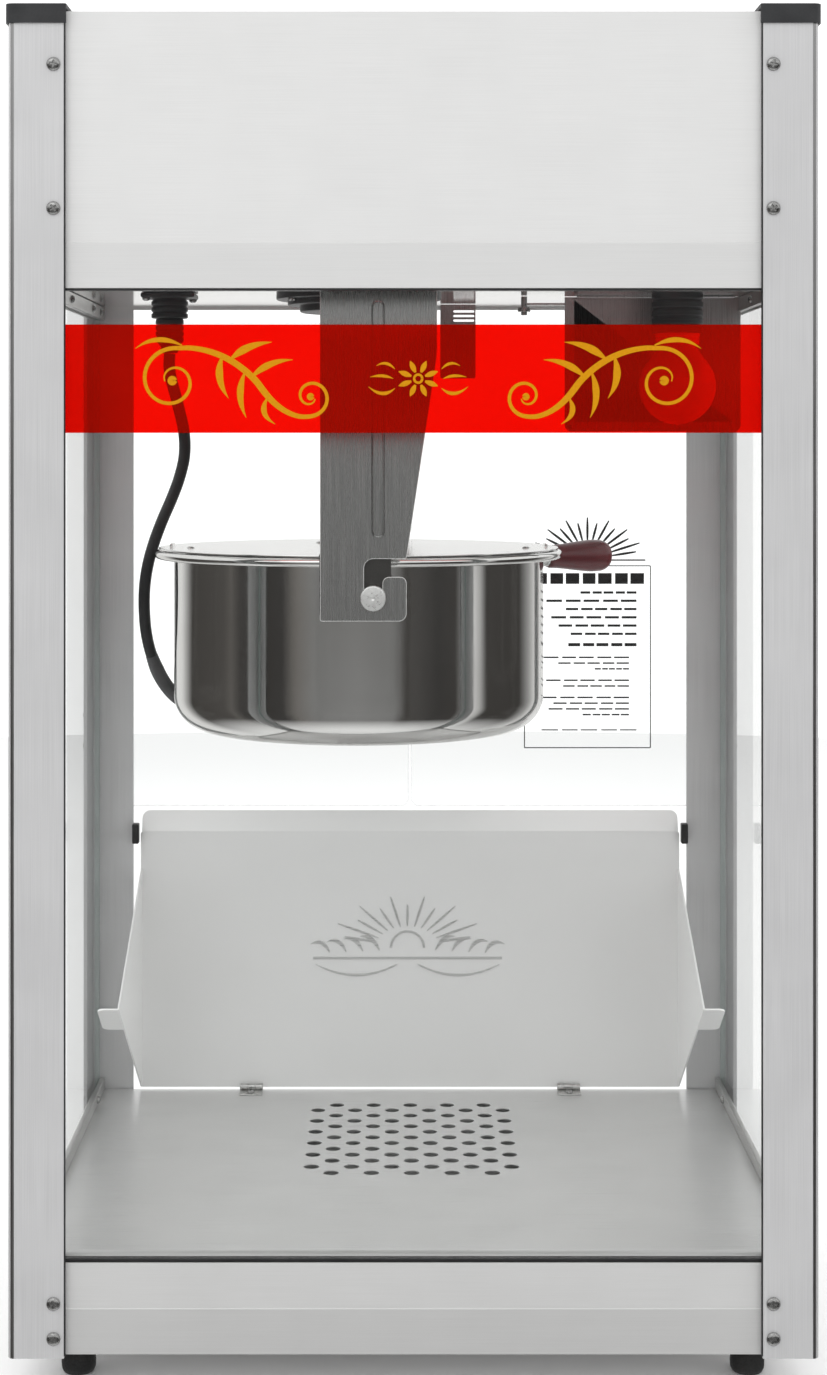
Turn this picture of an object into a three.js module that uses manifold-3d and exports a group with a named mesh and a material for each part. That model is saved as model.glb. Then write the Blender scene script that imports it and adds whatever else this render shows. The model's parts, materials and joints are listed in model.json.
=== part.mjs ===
// Countertop popcorn machine: a glass cabinet with a tilting kettle, in millimetres, +Z up.
// X runs across the machine, -Y is the customer's side and +Y the operator's side.
// The origin is the centre of the bounding box on the bench.
import * as THREE from 'three';
import { mergeVertices } from 'three/addons/utils/BufferGeometryUtils.js';
import Module from 'manifold-3d';

const wasm = await Module();
wasm.setup();

// ---------------------------------------------------------------- driving dimensions

const gap = 0.3; // clearance between pieces that touch
const bite = 0.15; // how far one wall of a folded piece reaches into the next
const sheet = 1.2; // panels, covers, ceiling, deck and flap

// Cabinet
const cabinetWidth = 504; // over the corner posts
const cabinetDepth = 390;
const cabinetHeight = 864; // bench to the tops of the caps
const postLeg = 35;
const postWall = 3;
const postCorner = 4;
const postOverhang = 1; // how far a post hangs below the top of the feet
const capHeight = 12;
const capProud = 1.5;
const capTop = 2.7;
const footRadius = 11;
const footHeight = 23.7;
const footInsetX = 39; // foot axis from the cabinet's side
const footInsetY = 40;

// Hood and base
const hoodHeight = 172.5;
const hoodTopDrop = 4; // cover below the tops of the caps
const ceilingRise = 10.5; // ceiling above the hood's lower edge
const baseHeight = 57;
const railHeight = 28.5; // folded strip along a panel's lower edge
const railStep = 0.5; // how far that strip stands proud

// Deck
const deckRise = 4; // deck above the base panels
const lipRadius = 9;
const lipDrop = 12;
const holeRadius = 5.3;
const holePitch = 28;
const holeRowPitch = 14;
const holeRows = 13;
const holesInShortRow = 5;
const holeFieldY = 62; // centre of the field of holes

// Glass
const glassThickness = 4;
const headerHeight = 67.5;
const headerDrop = 22.5; // header below the hood

// Kettle
const kettleX = -37; // kettle axis
const shellRadius = 129.5;
const shellDrop = 100.2; // shell's bottom below the pivot
const shellCorner = 30;
const panInset = 7.5; // pan's wall inside the shell's outer face
const panWall = 1.5;
const panDrop = 77.2; // pan's bottom below the pivot
const panCorner = 12;
const rimOverhang = 13.5; // rolled rim beyond the shell
const rimRise = 24.8; // rim above the pivot
const rimThickness = 6;
const shellTuck = 1.7; // how far the shell reaches up behind the rolled rim
const lidInset = 3; // lid inside the rim
const heaterThickness = 9;
const pivotX = -25.4; // tilting axis
const pivotDrop = 205.8; // tilting axis below the ceiling
const pinRadius = 5.5;
const pinHeadRadius = 8.15;
const pinHeadLength = 5.5;
const crossbarWidth = 46;
const crossbarThickness = 3;
const crossbarLegDrop = 40;
const handleTurn = 25 * Math.PI / 180; // towards the rear
const handleGap = 7; // from the rim to the grip
const handleLength = 52;
const handleRise = 16.3; // handle above the pivot
const gripRadius = 8.5;
const gripEndRadius = 12;
const shankRadius = 3.5;

// Stirrer and drive
const stirrerRadius = 5;
const stirrerDrop = 11; // stirrer's top below the drive housing
const bladeInset = 17; // blade's end from the pan's wall
const driveHeadRadius = 7;
const driveHeadGap = 2; // drive head's shoulder above the stirrer
const driveBore = 9;
const driveSteps = [[58, 6], [50, 4], [41.5, 4.7]]; // radius and height of each step, going down
const dogWidth = 4;
const dogHeight = 6.5;
const dogClearance = 0.6;

// Hangers
const hangerThickness = 2;
const hangerClearance = 2; // between a hanger and the crossbar's leg
const hangerLeft = -59.4;
const hangerRight = 15.4;
const hangerTipRight = -4.1;
const hangerTail = 14.9; // hanger's lower edge below the pivot
const hangerWaist = 50; // its full width, down from the ceiling
const slotWidth = 11.8;
const slotMouthTopRise = 25; // the slot's way in, above the pivot
const slotMouthBottomRise = 13.5;
const hangerFlange = 20;

// Lead from the ceiling to the kettle
const leadRadius = 4.15;
const socketX = -172;
const socketY = 20;
const socketRadius = 13;
const socketHeight = 17.7;
const plugRadius = 10;
const plugLength = 24.7;
const boxTurn = 140 * Math.PI / 180; // terminal box, round the kettle from +X
const boxDepth = 13;
const boxHalfWidth = 15;
const boxHeight = 44;
const leadPoints = [
  [-172, 20, 654.9], [-172, 20, 642], [-166.5, 20, 620], [-162, 20, 600], [-161.5, 20, 583],
  [-165, 20, 567], [-170.5, 20, 552], [-177, 20, 537], [-183, 20, 521], [-187.5, 20.5, 505],
  [-190, 22, 489], [-190.6, 25, 472], [-189.5, 30, 454], [-186, 37, 437], [-180, 45, 421],
  [-171.5, 55, 408], [-162, 65, 401.5], [-152, 75.3, 400],
];

// Lamp
const lampInset = 60.2; // lamp axis from the side panes' outer faces
const lampSocketRadius = 18;
const lampSocketHeight = 29;
const bulbRadius = 27;
const bulbNeckRadius = 13;
const shieldReach = 75; // from the lamp's axis towards the kettle
const shieldY = 60;
const shieldDrop = 98;
const shieldWallGap = 3; // between the shield and the side pane

// Rear doors
const doorTopGap = 1.5; // doors below the hood
const doorBottomGap = 3; // doors above the flap
const doorThickness = 4;
const doorClearance = 0.5; // between a door and the posts
const doorCorner = 6;
const doorHalfSeam = 1;
const hingeRadius = 2.4;
const hingeHeight = 42;
const hingeLeaf = 26;
const hingeInset = 61.5; // hinge centre from a door's end
const knobReach = 21;
const knobRadius = 9;
const knobInset = 22; // knob axis from the middle of the machine

// Tilt-out flap
const flapSideGap = 6; // between the flap and the posts' legs
const flapRise = 2; // flap above the deck
const flapHeight = 200.4;
const flapLipHeight = 15.6;
const flapLipLean = 5;
const flapLipInset = 8; // lip's end from the panel's side
const flapProud = 0.1; // flap's outer face behind the rear panels' inner faces
const wingTopDrop = 28.4; // wing's upper corner below the panel's top
const wingReach = 157.2; // wing's foremost corner, in front of the flap
const wingTipRise = 98; // and above the flap's lower edge
const wingFoot = 4; // wing in front of the flap at its lower end
const tabStart = 2; // along the wing's edge from its tip
const tabLength = 43;
const tabReach = 14.8;

// Drawer
const drawerHalfWidth = 110;
const drawerDepth = 250;
const drawerFloorRise = 6; // above the base's underside
const drawerHeadroom = 9; // below the top of the base
const drawerFaceMargin = 7;
const drawerFace = 1.5;
const drawerClearance = 1.5;
const pullHalfWidth = 30;
const pullReach = 12;
const pullThickness = 3;

// Rocker switches and cord gland on the rear of the hood
const rockerNames = ['lamp_rocker', 'kettle_rocker', 'stirrer_rocker'];
const rockerPitch = 60;
const rockerRise = 87.5; // above the hood's lower edge
const rockerHalfWidth = 11;
const rockerHalfHeight = 13.2;
const rockerProud = 3.6;
const rockerDip = 2;
const rockerDepth = 3;
const rockerClearance = 1.2;
const rockerTilt = 7 * Math.PI / 180;
const glandInset = 17; // gland axis from the post's leg
const glandRise = 42.5; // above the hood's lower edge
const glandRadius = 8;
const glandFlangeRadius = 12;
const glandBore = 3.5;

// ---------------------------------------------------------------- places worked out from them

const halfWidth = cabinetWidth / 2;
const halfDepth = cabinetDepth / 2;
const postInnerX = halfWidth - postWall;
const postInnerY = halfDepth - postWall;
const panelOuterY = postInnerY - gap; // front and rear panels lie behind the posts' legs
const panelInnerY = panelOuterY - sheet;
const coverOuterX = postInnerX - gap; // side sheets lie inside the posts' legs
const coverInnerX = coverOuterX - sheet;
const innerX = coverInnerX - gap;
const innerY = panelInnerY - gap;

const baseBottom = footHeight + gap;
const baseTop = baseBottom + baseHeight;
const deckTop = baseTop + deckRise;
const deckUnder = deckTop - sheet;
const hoodTop = cabinetHeight - hoodTopDrop;
const hoodBottom = hoodTop - hoodHeight;
const ceilingUnder = hoodBottom + ceilingRise;
const ceilingTop = ceilingUnder + sheet;
const hangFrom = ceilingUnder - gap; // top of everything that hangs from the ceiling

const panRadius = shellRadius - panInset;
const rimRadius = shellRadius + rimOverhang;
const lidRadius = rimRadius - lidInset;
const handleStart = rimRadius + handleGap;
const bladeReach = panRadius - bladeInset;
const pivotZ = ceilingUnder - pivotDrop;
const shellBottom = pivotZ - shellDrop;
const panBottom = pivotZ - panDrop;
const rimTop = pivotZ + rimRise;
const handleZ = pivotZ + handleRise;

const glassBottom = baseTop + gap;
const glassTop = ceilingUnder - gap;
const glassInnerX = innerX - glassThickness;
const glassInnerY = innerY - glassThickness;
const deckHalfX = glassInnerX - gap;
const deckFront = -(glassInnerY - gap);

const flapLow = deckTop + flapRise;
const flapHigh = flapLow + flapHeight;
const flapTop = flapHigh + flapLipHeight;
const flapHalfWidth = halfWidth - postLeg - flapSideGap;
const doorTop = hoodBottom - doorTopGap;
const doorBottom = flapTop + doorBottomGap;
const doorInnerY = halfDepth + doorClearance;
const doorOuterY = doorInnerY + doorThickness;
const doorOuterX = halfWidth - doorClearance;
const hingeX = doorOuterX + gap + hingeRadius;

const legInnerY = rimRadius + crossbarThickness;
const legOuterY = legInnerY + crossbarThickness;
const hangerInnerY = legOuterY + hangerClearance;
const hangerOuterY = hangerInnerY + hangerThickness;
const crossbarUnder = rimTop + gap;
const crossbarTop = crossbarUnder + crossbarThickness;
const crossbarHalf = crossbarWidth / 2;
const driveBottom = hangFrom - driveSteps.reduce((sum, [, height]) => sum + height, 0);
const stirrerTop = driveBottom - stirrerDrop;
const lampX = innerX - lampInset;
const rockerZ = hoodBottom + rockerRise;

// ---------------------------------------------------------------- shapes and solids

function signedVolume(geometry) {
  const at = geometry.attributes.position;
  const index = geometry.index.array;
  const [a, b, c] = [new THREE.Vector3(), new THREE.Vector3(), new THREE.Vector3()];
  let sum = 0;
  for (let i = 0; i < index.length; i += 3) {
    a.fromBufferAttribute(at, index[i]);
    b.fromBufferAttribute(at, index[i + 1]);
    c.fromBufferAttribute(at, index[i + 2]);
    sum += a.dot(b.cross(c)) / 6;
  }
  return sum;
}

// One closed surface: shared vertices merged, no zero-area triangles, faces pointing out.
function closed(source) {
  const bare = source.clone();
  for (const name of Object.keys(bare.attributes)) {
    if (name !== 'position') bare.deleteAttribute(name);
  }
  const geometry = mergeVertices(bare, 1e-4);
  const index = geometry.index.array;
  const kept = [];
  for (let i = 0; i < index.length; i += 3) {
    const [a, b, c] = index.slice(i, i + 3);
    if (a !== b && b !== c && c !== a) kept.push(a, b, c);
  }
  geometry.setIndex(kept);
  if (signedVolume(geometry) < 0) {
    for (let i = 0; i < kept.length; i += 3) [kept[i], kept[i + 1]] = [kept[i + 1], kept[i]];
    geometry.setIndex(kept);
  }
  return geometry;
}

function solidOf(source) {
  const geometry = closed(source);
  return new wasm.Manifold(new wasm.Mesh({
    numProp: 3,
    vertProperties: new Float32Array(geometry.attributes.position.array),
    triVerts: new Uint32Array(geometry.index.array),
  }));
}

function geometryOf(solid) {
  const mesh = solid.getMesh();
  const geometry = new THREE.BufferGeometry();
  geometry.setAttribute('position', new THREE.BufferAttribute(mesh.vertProperties, 3));
  geometry.setIndex(Array.from(mesh.triVerts));
  return geometry;
}

function join(...pieces) {
  return geometryOf(pieces.map(solidOf).reduce((whole, piece) => whole.add(piece)));
}

function cut(body, ...tools) {
  return geometryOf(tools.map(solidOf).reduce((left, tool) => left.subtract(tool), solidOf(body)));
}

function box(low, high) {
  const size = high.map((value, i) => value - low[i]);
  const middle = high.map((value, i) => (value + low[i]) / 2);
  return new THREE.BoxGeometry(...size).translate(...middle);
}

function outline(points) {
  return new THREE.Shape(points.map(([u, v]) => new THREE.Vector2(u, v)));
}

function roundedRectangle(low, high, radius) {
  const shape = new THREE.Shape();
  shape.absarc(high[0] - radius, low[1] + radius, radius, -Math.PI / 2, 0);
  shape.absarc(high[0] - radius, high[1] - radius, radius, 0, Math.PI / 2);
  shape.absarc(low[0] + radius, high[1] - radius, radius, Math.PI / 2, Math.PI);
  shape.absarc(low[0] + radius, low[1] + radius, radius, Math.PI, Math.PI * 1.5);
  return shape;
}

// An outline of X and Y, drawn out along Z.
function alongZ(shape, low, high, curveSegments = 4) {
  const options = { depth: high - low, bevelEnabled: false, curveSegments };
  return new THREE.ExtrudeGeometry(shape, options).translate(0, 0, low);
}

// An outline of X and Z, drawn out along Y.
function alongY(shape, low, high, curveSegments = 4) {
  return alongZ(shape, 0, high - low, curveSegments).rotateX(Math.PI / 2).translate(0, high, 0);
}

// An outline of Y and Z, drawn out along X.
function alongX(shape, low, high, curveSegments = 4) {
  const turn = new THREE.Matrix4().set(0, 0, 1, 0, 1, 0, 0, 0, 0, 1, 0, 0, 0, 0, 0, 1);
  return alongZ(shape, 0, high - low, curveSegments).applyMatrix4(turn).translate(low, 0, 0);
}

// A profile of radius and height, turned about the Z axis.
function turned(profile, segments) {
  const points = profile.map(([radius, height]) => new THREE.Vector2(radius, height));
  return closed(new THREE.LatheGeometry(points, segments).rotateX(Math.PI / 2));
}

// The same profile turned about the Y axis, its height running along +Y.
function turnedAboutY(profile, segments) {
  return turned(profile, segments).rotateX(-Math.PI / 2);
}

function rod(radius, low, high, segments = 20) {
  return turned([[0, low], [radius, low], [radius, high], [0, high]], segments);
}

// Points on an arc in a profile, from one angle to another, both in degrees.
function arc(centre, radius, from, to, steps) {
  const points = [];
  for (let i = 0; i <= steps; i++) {
    const angle = (from + (to - from) * i / steps) * Math.PI / 180;
    points.push([centre[0] + radius * Math.cos(angle), centre[1] + radius * Math.sin(angle)]);
  }
  return points;
}

// ---------------------------------------------------------------- materials

function finish(color, roughness, metalness, more = {}) {
  return new THREE.MeshStandardMaterial({ color, roughness, metalness, ...more });
}

const aluminium = finish(0xc8c9ca, 0.42, 0.9);
const paintedPanel = finish(0xdfe0e0, 0.5, 0.3);
const stainless = finish(0xb9babb, 0.32, 1);
const polished = finish(0xd9dadb, 0.06, 1);
const blackPlastic = finish(0x17181a, 0.5, 0);
const blackRubber = finish(0x141414, 0.85, 0);
const clearGlass = finish(0xe9f2f0, 0.04, 0, { transparent: true, opacity: 0.25 });
const redAcrylic = finish(0xd00d04, 0.1, 0, { transparent: true, opacity: 0.85 });
const maroon = finish(0x551c22, 0.35, 0);
const bulbGlass = finish(0xf4f1e6, 0.1, 0, { transparent: true, opacity: 0.5 });
const galvanised = finish(0x9ea2a5, 0.5, 0.8);

// ---------------------------------------------------------------- the machine

const machine = new THREE.Group();

function add(name, geometry, material, parent = machine) {
  const mesh = new THREE.Mesh(closed(geometry), material);
  mesh.name = name;
  parent.add(mesh);
  return mesh;
}

// The four corners, each with the turn that takes a corner drawn at the front left to it.
const corners = [
  ['front_left', -1, -1, 0],
  ['front_right', 1, -1, Math.PI / 2],
  ['rear_right', 1, 1, Math.PI],
  ['rear_left', -1, 1, Math.PI * 1.5],
];

function postSection() {
  const shape = outline([
    [postCorner, 0], [postLeg, 0], [postLeg, postWall], [postWall, postWall],
    [postWall, postLeg], [0, postLeg], [0, postCorner],
  ]);
  shape.absarc(postCorner, postCorner, postCorner, Math.PI, Math.PI * 1.5);
  return shape;
}

// A cap is a plate over the post's end with a skirt down its two outer faces.
function capGeometry() {
  const skirtLow = cabinetHeight - capHeight;
  const plateLow = cabinetHeight - capTop;
  const far = postLeg + capProud;
  const skirt = capProud - gap;
  return join(
    box([-capProud, -capProud, plateLow], [far, far, cabinetHeight]),
    box([-capProud, -capProud, skirtLow], [far, -capProud + skirt, cabinetHeight]),
    box([-capProud, -capProud, skirtLow], [-capProud + skirt, far, cabinetHeight]),
  );
}

for (const [place, sideX, sideY, turn] of corners) {
  const postLow = footHeight - postOverhang;
  const postHigh = cabinetHeight - capTop - gap;
  const post = add(`post_${place}`, alongZ(postSection(), postLow, postHigh), aluminium);
  const cap = add(`cap_${place}`, capGeometry(), blackPlastic);
  for (const mesh of [post, cap]) {
    mesh.position.set(sideX * halfWidth, sideY * halfDepth, 0);
    mesh.rotation.z = turn;
  }
  const foot = add(`foot_${place}`, turned([
    [0, 0], [footRadius - 1, 0], [footRadius, 1], [footRadius, footHeight], [0, footHeight],
  ], 16), blackRubber);
  foot.position.set(sideX * (halfWidth - footInsetX), sideY * (halfDepth - footInsetY), 0);
}

// A front or base panel: a flat sheet whose lower strip stands a little proud.
function railPanel(low, high) {
  const profile = outline([
    [-panelOuterY, low], [-panelInnerY, low], [-panelInnerY, high],
    [-panelOuterY + railStep, high], [-panelOuterY + railStep, low + railHeight],
    [-panelOuterY, low + railHeight],
  ]);
  return alongX(profile, -innerX, innerX);
}

add('hood_front_panel', railPanel(hoodBottom, hoodTop), paintedPanel);
add('base_front_panel', railPanel(baseBottom, baseTop), paintedPanel);

// A folded sheet of three walls: one across the machine and two at its sides.
function foldedSheet(acrossLow, sideLow, sideHigh) {
  return join(
    box([-coverOuterX, -innerY, acrossLow], [coverOuterX, innerY, acrossLow + sheet]),
    box([-coverOuterX, -innerY, sideLow], [-coverInnerX, innerY, sideHigh]),
    box([coverInnerX, -innerY, sideLow], [coverOuterX, innerY, sideHigh]),
  );
}

add('hood_cover', foldedSheet(hoodTop - sheet, hoodBottom, hoodTop), paintedPanel);
add('base_pan', foldedSheet(baseBottom, baseBottom, baseTop), galvanised);

const glandX = halfWidth - postLeg - glandInset;
const glandZ = hoodBottom + glandRise;
const rockerPlaces = rockerNames.map((name, i) => {
  return [name, (i - (rockerNames.length - 1) / 2) * rockerPitch];
});

function hoodRearPanel() {
  const sheetBody = box([-innerX, panelInnerY, hoodBottom], [innerX, panelOuterY, hoodTop]);
  const openings = rockerPlaces.map(([, x]) => {
    const halfX = rockerHalfWidth + gap;
    const halfZ = rockerHalfHeight + rockerClearance;
    return box(
      [x - halfX, panelInnerY - 1, rockerZ - halfZ],
      [x + halfX, panelOuterY + 1, rockerZ + halfZ],
    );
  });
  const glandHole = rod(glandRadius + gap * 2, -sheet * 2, sheet * 2)
    .rotateX(Math.PI / 2).translate(glandX, panelInnerY, glandZ);
  return cut(sheetBody, ...openings, glandHole);
}

add('hood_rear_panel', hoodRearPanel(), paintedPanel);

// Each rocker is built tipped to its off side, and tips through to its on side.
for (const [name, x] of rockerPlaces) {
  const profile = outline([
    [-rockerDepth, -rockerHalfHeight], [rockerProud, -rockerHalfHeight],
    [rockerProud - rockerDip, 0], [rockerProud, rockerHalfHeight],
    [-rockerDepth, rockerHalfHeight],
  ]);
  const rocker = add(name, alongX(profile, -rockerHalfWidth, rockerHalfWidth), blackPlastic);
  rocker.position.set(x, panelOuterY, rockerZ);
  rocker.rotation.x = rockerTilt;
}

const gland = add('cord_gland', turnedAboutY([
  [glandBore, -6], [glandRadius, -6], [glandRadius, gap], [glandFlangeRadius, gap],
  [glandFlangeRadius, 3.5], [glandRadius, 4.5], [glandRadius - 2, 10], [glandBore, 10], [glandBore, -6],
], 16), blackPlastic);
gland.position.set(glandX, panelOuterY, glandZ);

// ---------------------------------------------------------------- ceiling, deck and glass

function ceilingGeometry() {
  const holes = [
    [kettleX, 0, driveBore],
    [socketX, socketY, plugRadius - 2],
    [lampX, 0, lampSocketRadius - 8],
  ];
  const tools = holes.map(([x, y, radius]) => {
    return rod(radius, ceilingUnder - 1, ceilingTop + 1).translate(x, y, 0);
  });
  return cut(box([-innerX, -innerY, ceilingUnder], [innerX, innerY, ceilingTop]), ...tools);
}

add('ceiling_panel', ceilingGeometry(), stainless);

// Rows of holes alternate between a short and a long one, so the field is staggered.
function holePlaces() {
  const places = [];
  for (let row = 0; row < holeRows; row++) {
    const count = holesInShortRow + row % 2;
    const y = holeFieldY + (row - (holeRows - 1) / 2) * holeRowPitch;
    for (let i = 0; i < count; i++) places.push([(i - (count - 1) / 2) * holePitch, y]);
  }
  return places;
}

function deckGeometry() {
  const flatFront = deckFront + lipRadius;
  const plate = outline([
    [-deckHalfX, flatFront], [deckHalfX, flatFront], [deckHalfX, innerY], [-deckHalfX, innerY],
  ]);
  for (const [x, y] of holePlaces()) {
    plate.holes.push(new THREE.Path().absarc(x, y, holeRadius, 0, Math.PI * 2, true));
  }
  const centre = [flatFront, deckTop - lipRadius];
  const lip = outline([
    [flatFront + 1, deckTop], ...arc(centre, lipRadius, 90, 180, 5), [deckFront, deckTop - lipDrop],
    [deckFront + sheet, deckTop - lipDrop], ...arc(centre, lipRadius - sheet, 180, 90, 5),
    [flatFront + 1, deckUnder],
  ]);
  return join(alongZ(plate, deckUnder, deckTop), alongX(lip, -deckHalfX, deckHalfX));
}

add('deck', deckGeometry(), stainless);

for (const [name, side] of [['side_glass_left', -1], ['side_glass_right', 1]]) {
  const pane = box([-glassThickness / 2, -innerY, glassBottom], [glassThickness / 2, innerY, glassTop]);
  add(name, pane, clearGlass).position.x = side * (innerX - glassThickness / 2);
}
add('front_glass', box([-deckHalfX, -innerY, glassBottom], [deckHalfX, -glassInnerY, glassTop]), clearGlass);

const headerTop = hoodBottom - headerDrop;
add('header_band', box(
  [-innerX, -panelOuterY, headerTop - headerHeight],
  [innerX, -panelInnerY, headerTop],
), redAcrylic);

// ---------------------------------------------------------------- hangers and drive

// A hanger narrows downwards and ends in a J-shaped slot which holds the kettle's pin.
function hangerShape() {
  const slotLeft = pivotX - slotWidth / 2;
  const slotRight = pivotX + slotWidth / 2;
  const mouthTop = pivotZ + slotMouthTopRise;
  const mouthBottom = pivotZ + slotMouthBottomRise;
  const shape = outline([
    [hangerLeft, hangFrom], [hangerLeft, pivotZ - hangerTail],
    ...arc([hangerTipRight - 5, pivotZ - hangerTail + 5], 5, -90, 0, 3),
    ...arc([hangerTipRight - 4, mouthBottom - 4], 4, 0, 90, 3),
    ...arc([slotRight + 4, mouthBottom - 4], 4, 90, 180, 3),
    ...arc([pivotX, pivotZ], slotWidth / 2, 0, -180, 8),
    ...arc([slotLeft + 6, mouthTop - 6], 6, 180, 90, 3),
    [hangerTipRight, mouthTop],
    [hangerRight, hangFrom - hangerWaist], [hangerRight, hangFrom],
  ]);
  return shape;
}

for (const [name, side] of [['hanger_front', -1], ['hanger_rear', 1]]) {
  const [low, high] = side < 0 ? [-hangerOuterY, -hangerInnerY] : [hangerInnerY, hangerOuterY];
  const [flangeLow, flangeHigh] = side < 0 ? [low, high + hangerFlange] : [low - hangerFlange, high];
  add(name, join(
    alongY(hangerShape(), low, high),
    box([hangerLeft, flangeLow, hangFrom - hangerThickness], [hangerRight, flangeHigh, hangFrom]),
  ), stainless);
}

function driveHousing() {
  const profile = [[driveBore, hangFrom]];
  let level = hangFrom;
  for (const [radius, height] of driveSteps) {
    profile.push([radius, level], [radius, level - height]);
    level -= height;
  }
  profile.push([driveBore, level], [driveBore, hangFrom]);
  return turned(profile, 28);
}

add('drive_housing', driveHousing(), blackPlastic).position.x = kettleX;

// The drive head's tongue stands in the stirrer's slot. Both run along X at rest, so that the
// kettle can swing the stirrer out sideways.
const headShoulder = stirrerTop + driveHeadGap;
add('drive_head', join(
  rod(driveHeadRadius, headShoulder, ceilingTop, 16),
  box([-driveHeadRadius * 0.8, -dogWidth / 2, headShoulder - dogHeight],
    [driveHeadRadius * 0.8, dogWidth / 2, headShoulder + 1]),
), galvanised).position.x = kettleX;

add('gear_motor', join(
  box([-38, -30, ceilingTop + gap], [38, 30, ceilingTop + 38]),
  rod(27, ceilingTop + 37, ceilingTop + 100, 24),
), galvanised).position.x = kettleX;

// ---------------------------------------------------------------- lamp, socket and lead

const lampSocket = rod(lampSocketRadius, hangFrom - lampSocketHeight, hangFrom);
add('lamp_socket', lampSocket, blackPlastic).position.x = lampX;

const bulbTop = hangFrom - lampSocketHeight - gap;
const bulbCentre = bulbTop - bulbRadius - 10;
add('lamp_bulb', turned([
  ...arc([0, bulbCentre], bulbRadius, -90, 60, 8),
  [bulbNeckRadius, bulbTop - 4], [bulbNeckRadius, bulbTop], [0, bulbTop],
], 20), bulbGlass).position.x = lampX;

add('lamp_shield', box(
  [lampX - shieldReach, shieldY, hangFrom - shieldDrop],
  [glassInnerX - shieldWallGap, shieldY + sheet, hangFrom],
), stainless);

const socketBottom = hangFrom - socketHeight;
const plugBottom = socketBottom - plugLength;
const kettleSocket = add('kettle_socket', rod(socketRadius, socketBottom, hangFrom), blackPlastic);
const leadPlug = add('lead_plug', turned([
  [0, plugBottom], [plugRadius - 3, plugBottom], [plugRadius, plugBottom + 8],
  [plugRadius, socketBottom - gap], [0, socketBottom - gap],
], 16), blackPlastic);
for (const mesh of [kettleSocket, leadPlug]) mesh.position.set(socketX, socketY, 0);

const leadRoute = new THREE.CatmullRomCurve3(leadPoints.map((point) => new THREE.Vector3(...point)));
const leadSection = new THREE.Shape().absarc(0, 0, leadRadius, 0, Math.PI * 2);
add('kettle_lead', new THREE.ExtrudeGeometry(leadSection, {
  steps: 24, curveSegments: 5, extrudePath: leadRoute,
}), blackRubber);

// ---------------------------------------------------------------- kettle

const kettle = new THREE.Group();
kettle.position.x = kettleX;
machine.add(kettle);

const kettleSegments = 32;
const shellTop = rimTop - rimThickness + shellTuck;

add('kettle_shell', turned([
  [0, shellBottom],
  ...arc([shellRadius - shellCorner, shellBottom + shellCorner], shellCorner, -90, 0, 5),
  [shellRadius, shellTop], [shellRadius - sheet, shellTop],
  ...arc([shellRadius - shellCorner, shellBottom + shellCorner], shellCorner - sheet, 0, -90, 5),
  [0, shellBottom + sheet],
], kettleSegments), polished, kettle);

const flangeUnder = shellTop + gap;
const flangeTop = flangeUnder + panWall;
add('kettle_pan', turned([
  [0, panBottom],
  ...arc([panRadius - panCorner, panBottom + panCorner], panCorner, -90, 0, 3),
  [panRadius, flangeUnder], [rimRadius - rimThickness, flangeUnder],
  ...arc([rimRadius - rimThickness / 2, rimTop - rimThickness / 2], rimThickness / 2, -150, 120, 6),
  [rimRadius - rimThickness, flangeTop], [panRadius - panWall, flangeTop],
  ...arc([panRadius - panCorner, panBottom + panCorner], panCorner - panWall, 0, -90, 3),
  [0, panBottom + panWall],
], kettleSegments), stainless, kettle);

const heaterTop = panBottom - gap;
const heater = rod(panRadius - panCorner, heaterTop - heaterThickness, heaterTop, 28);
add('kettle_heater', heater, galvanised, kettle);

// The crossbar lies over the pan, and its legs carry the two pins that hang in the J-slots.
function crossbarGeometry() {
  const legs = [];
  for (const side of [-1, 1]) {
    const [near, far] = side < 0 ? [-legOuterY, -legInnerY] : [legInnerY, legOuterY];
    const pinLength = hangerOuterY + gap * 2 - legInnerY;
    legs.push(
      box([-crossbarHalf, near, crossbarTop - crossbarLegDrop], [crossbarHalf, far, crossbarTop]),
      rod(pinRadius, 0, pinLength + pinHeadLength, 16).rotateX(-side * Math.PI / 2)
        .translate(pivotX - kettleX, side * legInnerY, pivotZ),
      rod(pinHeadRadius, pinLength, pinLength + pinHeadLength, 20).rotateX(-side * Math.PI / 2)
        .translate(pivotX - kettleX, side * legInnerY, pivotZ),
    );
  }
  const bar = box([-crossbarHalf, -legOuterY, crossbarUnder], [crossbarHalf, legOuterY, crossbarTop]);
  return cut(join(bar, ...legs), rod(stirrerRadius + gap * 3, crossbarUnder - 1, crossbarTop + 1));
}

add('kettle_crossbar', crossbarGeometry(), stainless, kettle);

// Two half lids, each hinged along the crossbar's edge.
const lidEdge = crossbarHalf + 0.5;
const lidAngle = Math.acos(lidEdge / lidRadius);
for (const [name, turn] of [['lid_right', 0], ['lid_left', Math.PI]]) {
  const shape = new THREE.Shape().absarc(0, 0, lidRadius, -lidAngle, lidAngle);
  const lid = add(name, alongZ(shape, crossbarUnder, crossbarUnder + sheet, 16), stainless, kettle);
  lid.rotation.z = turn;
}

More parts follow.
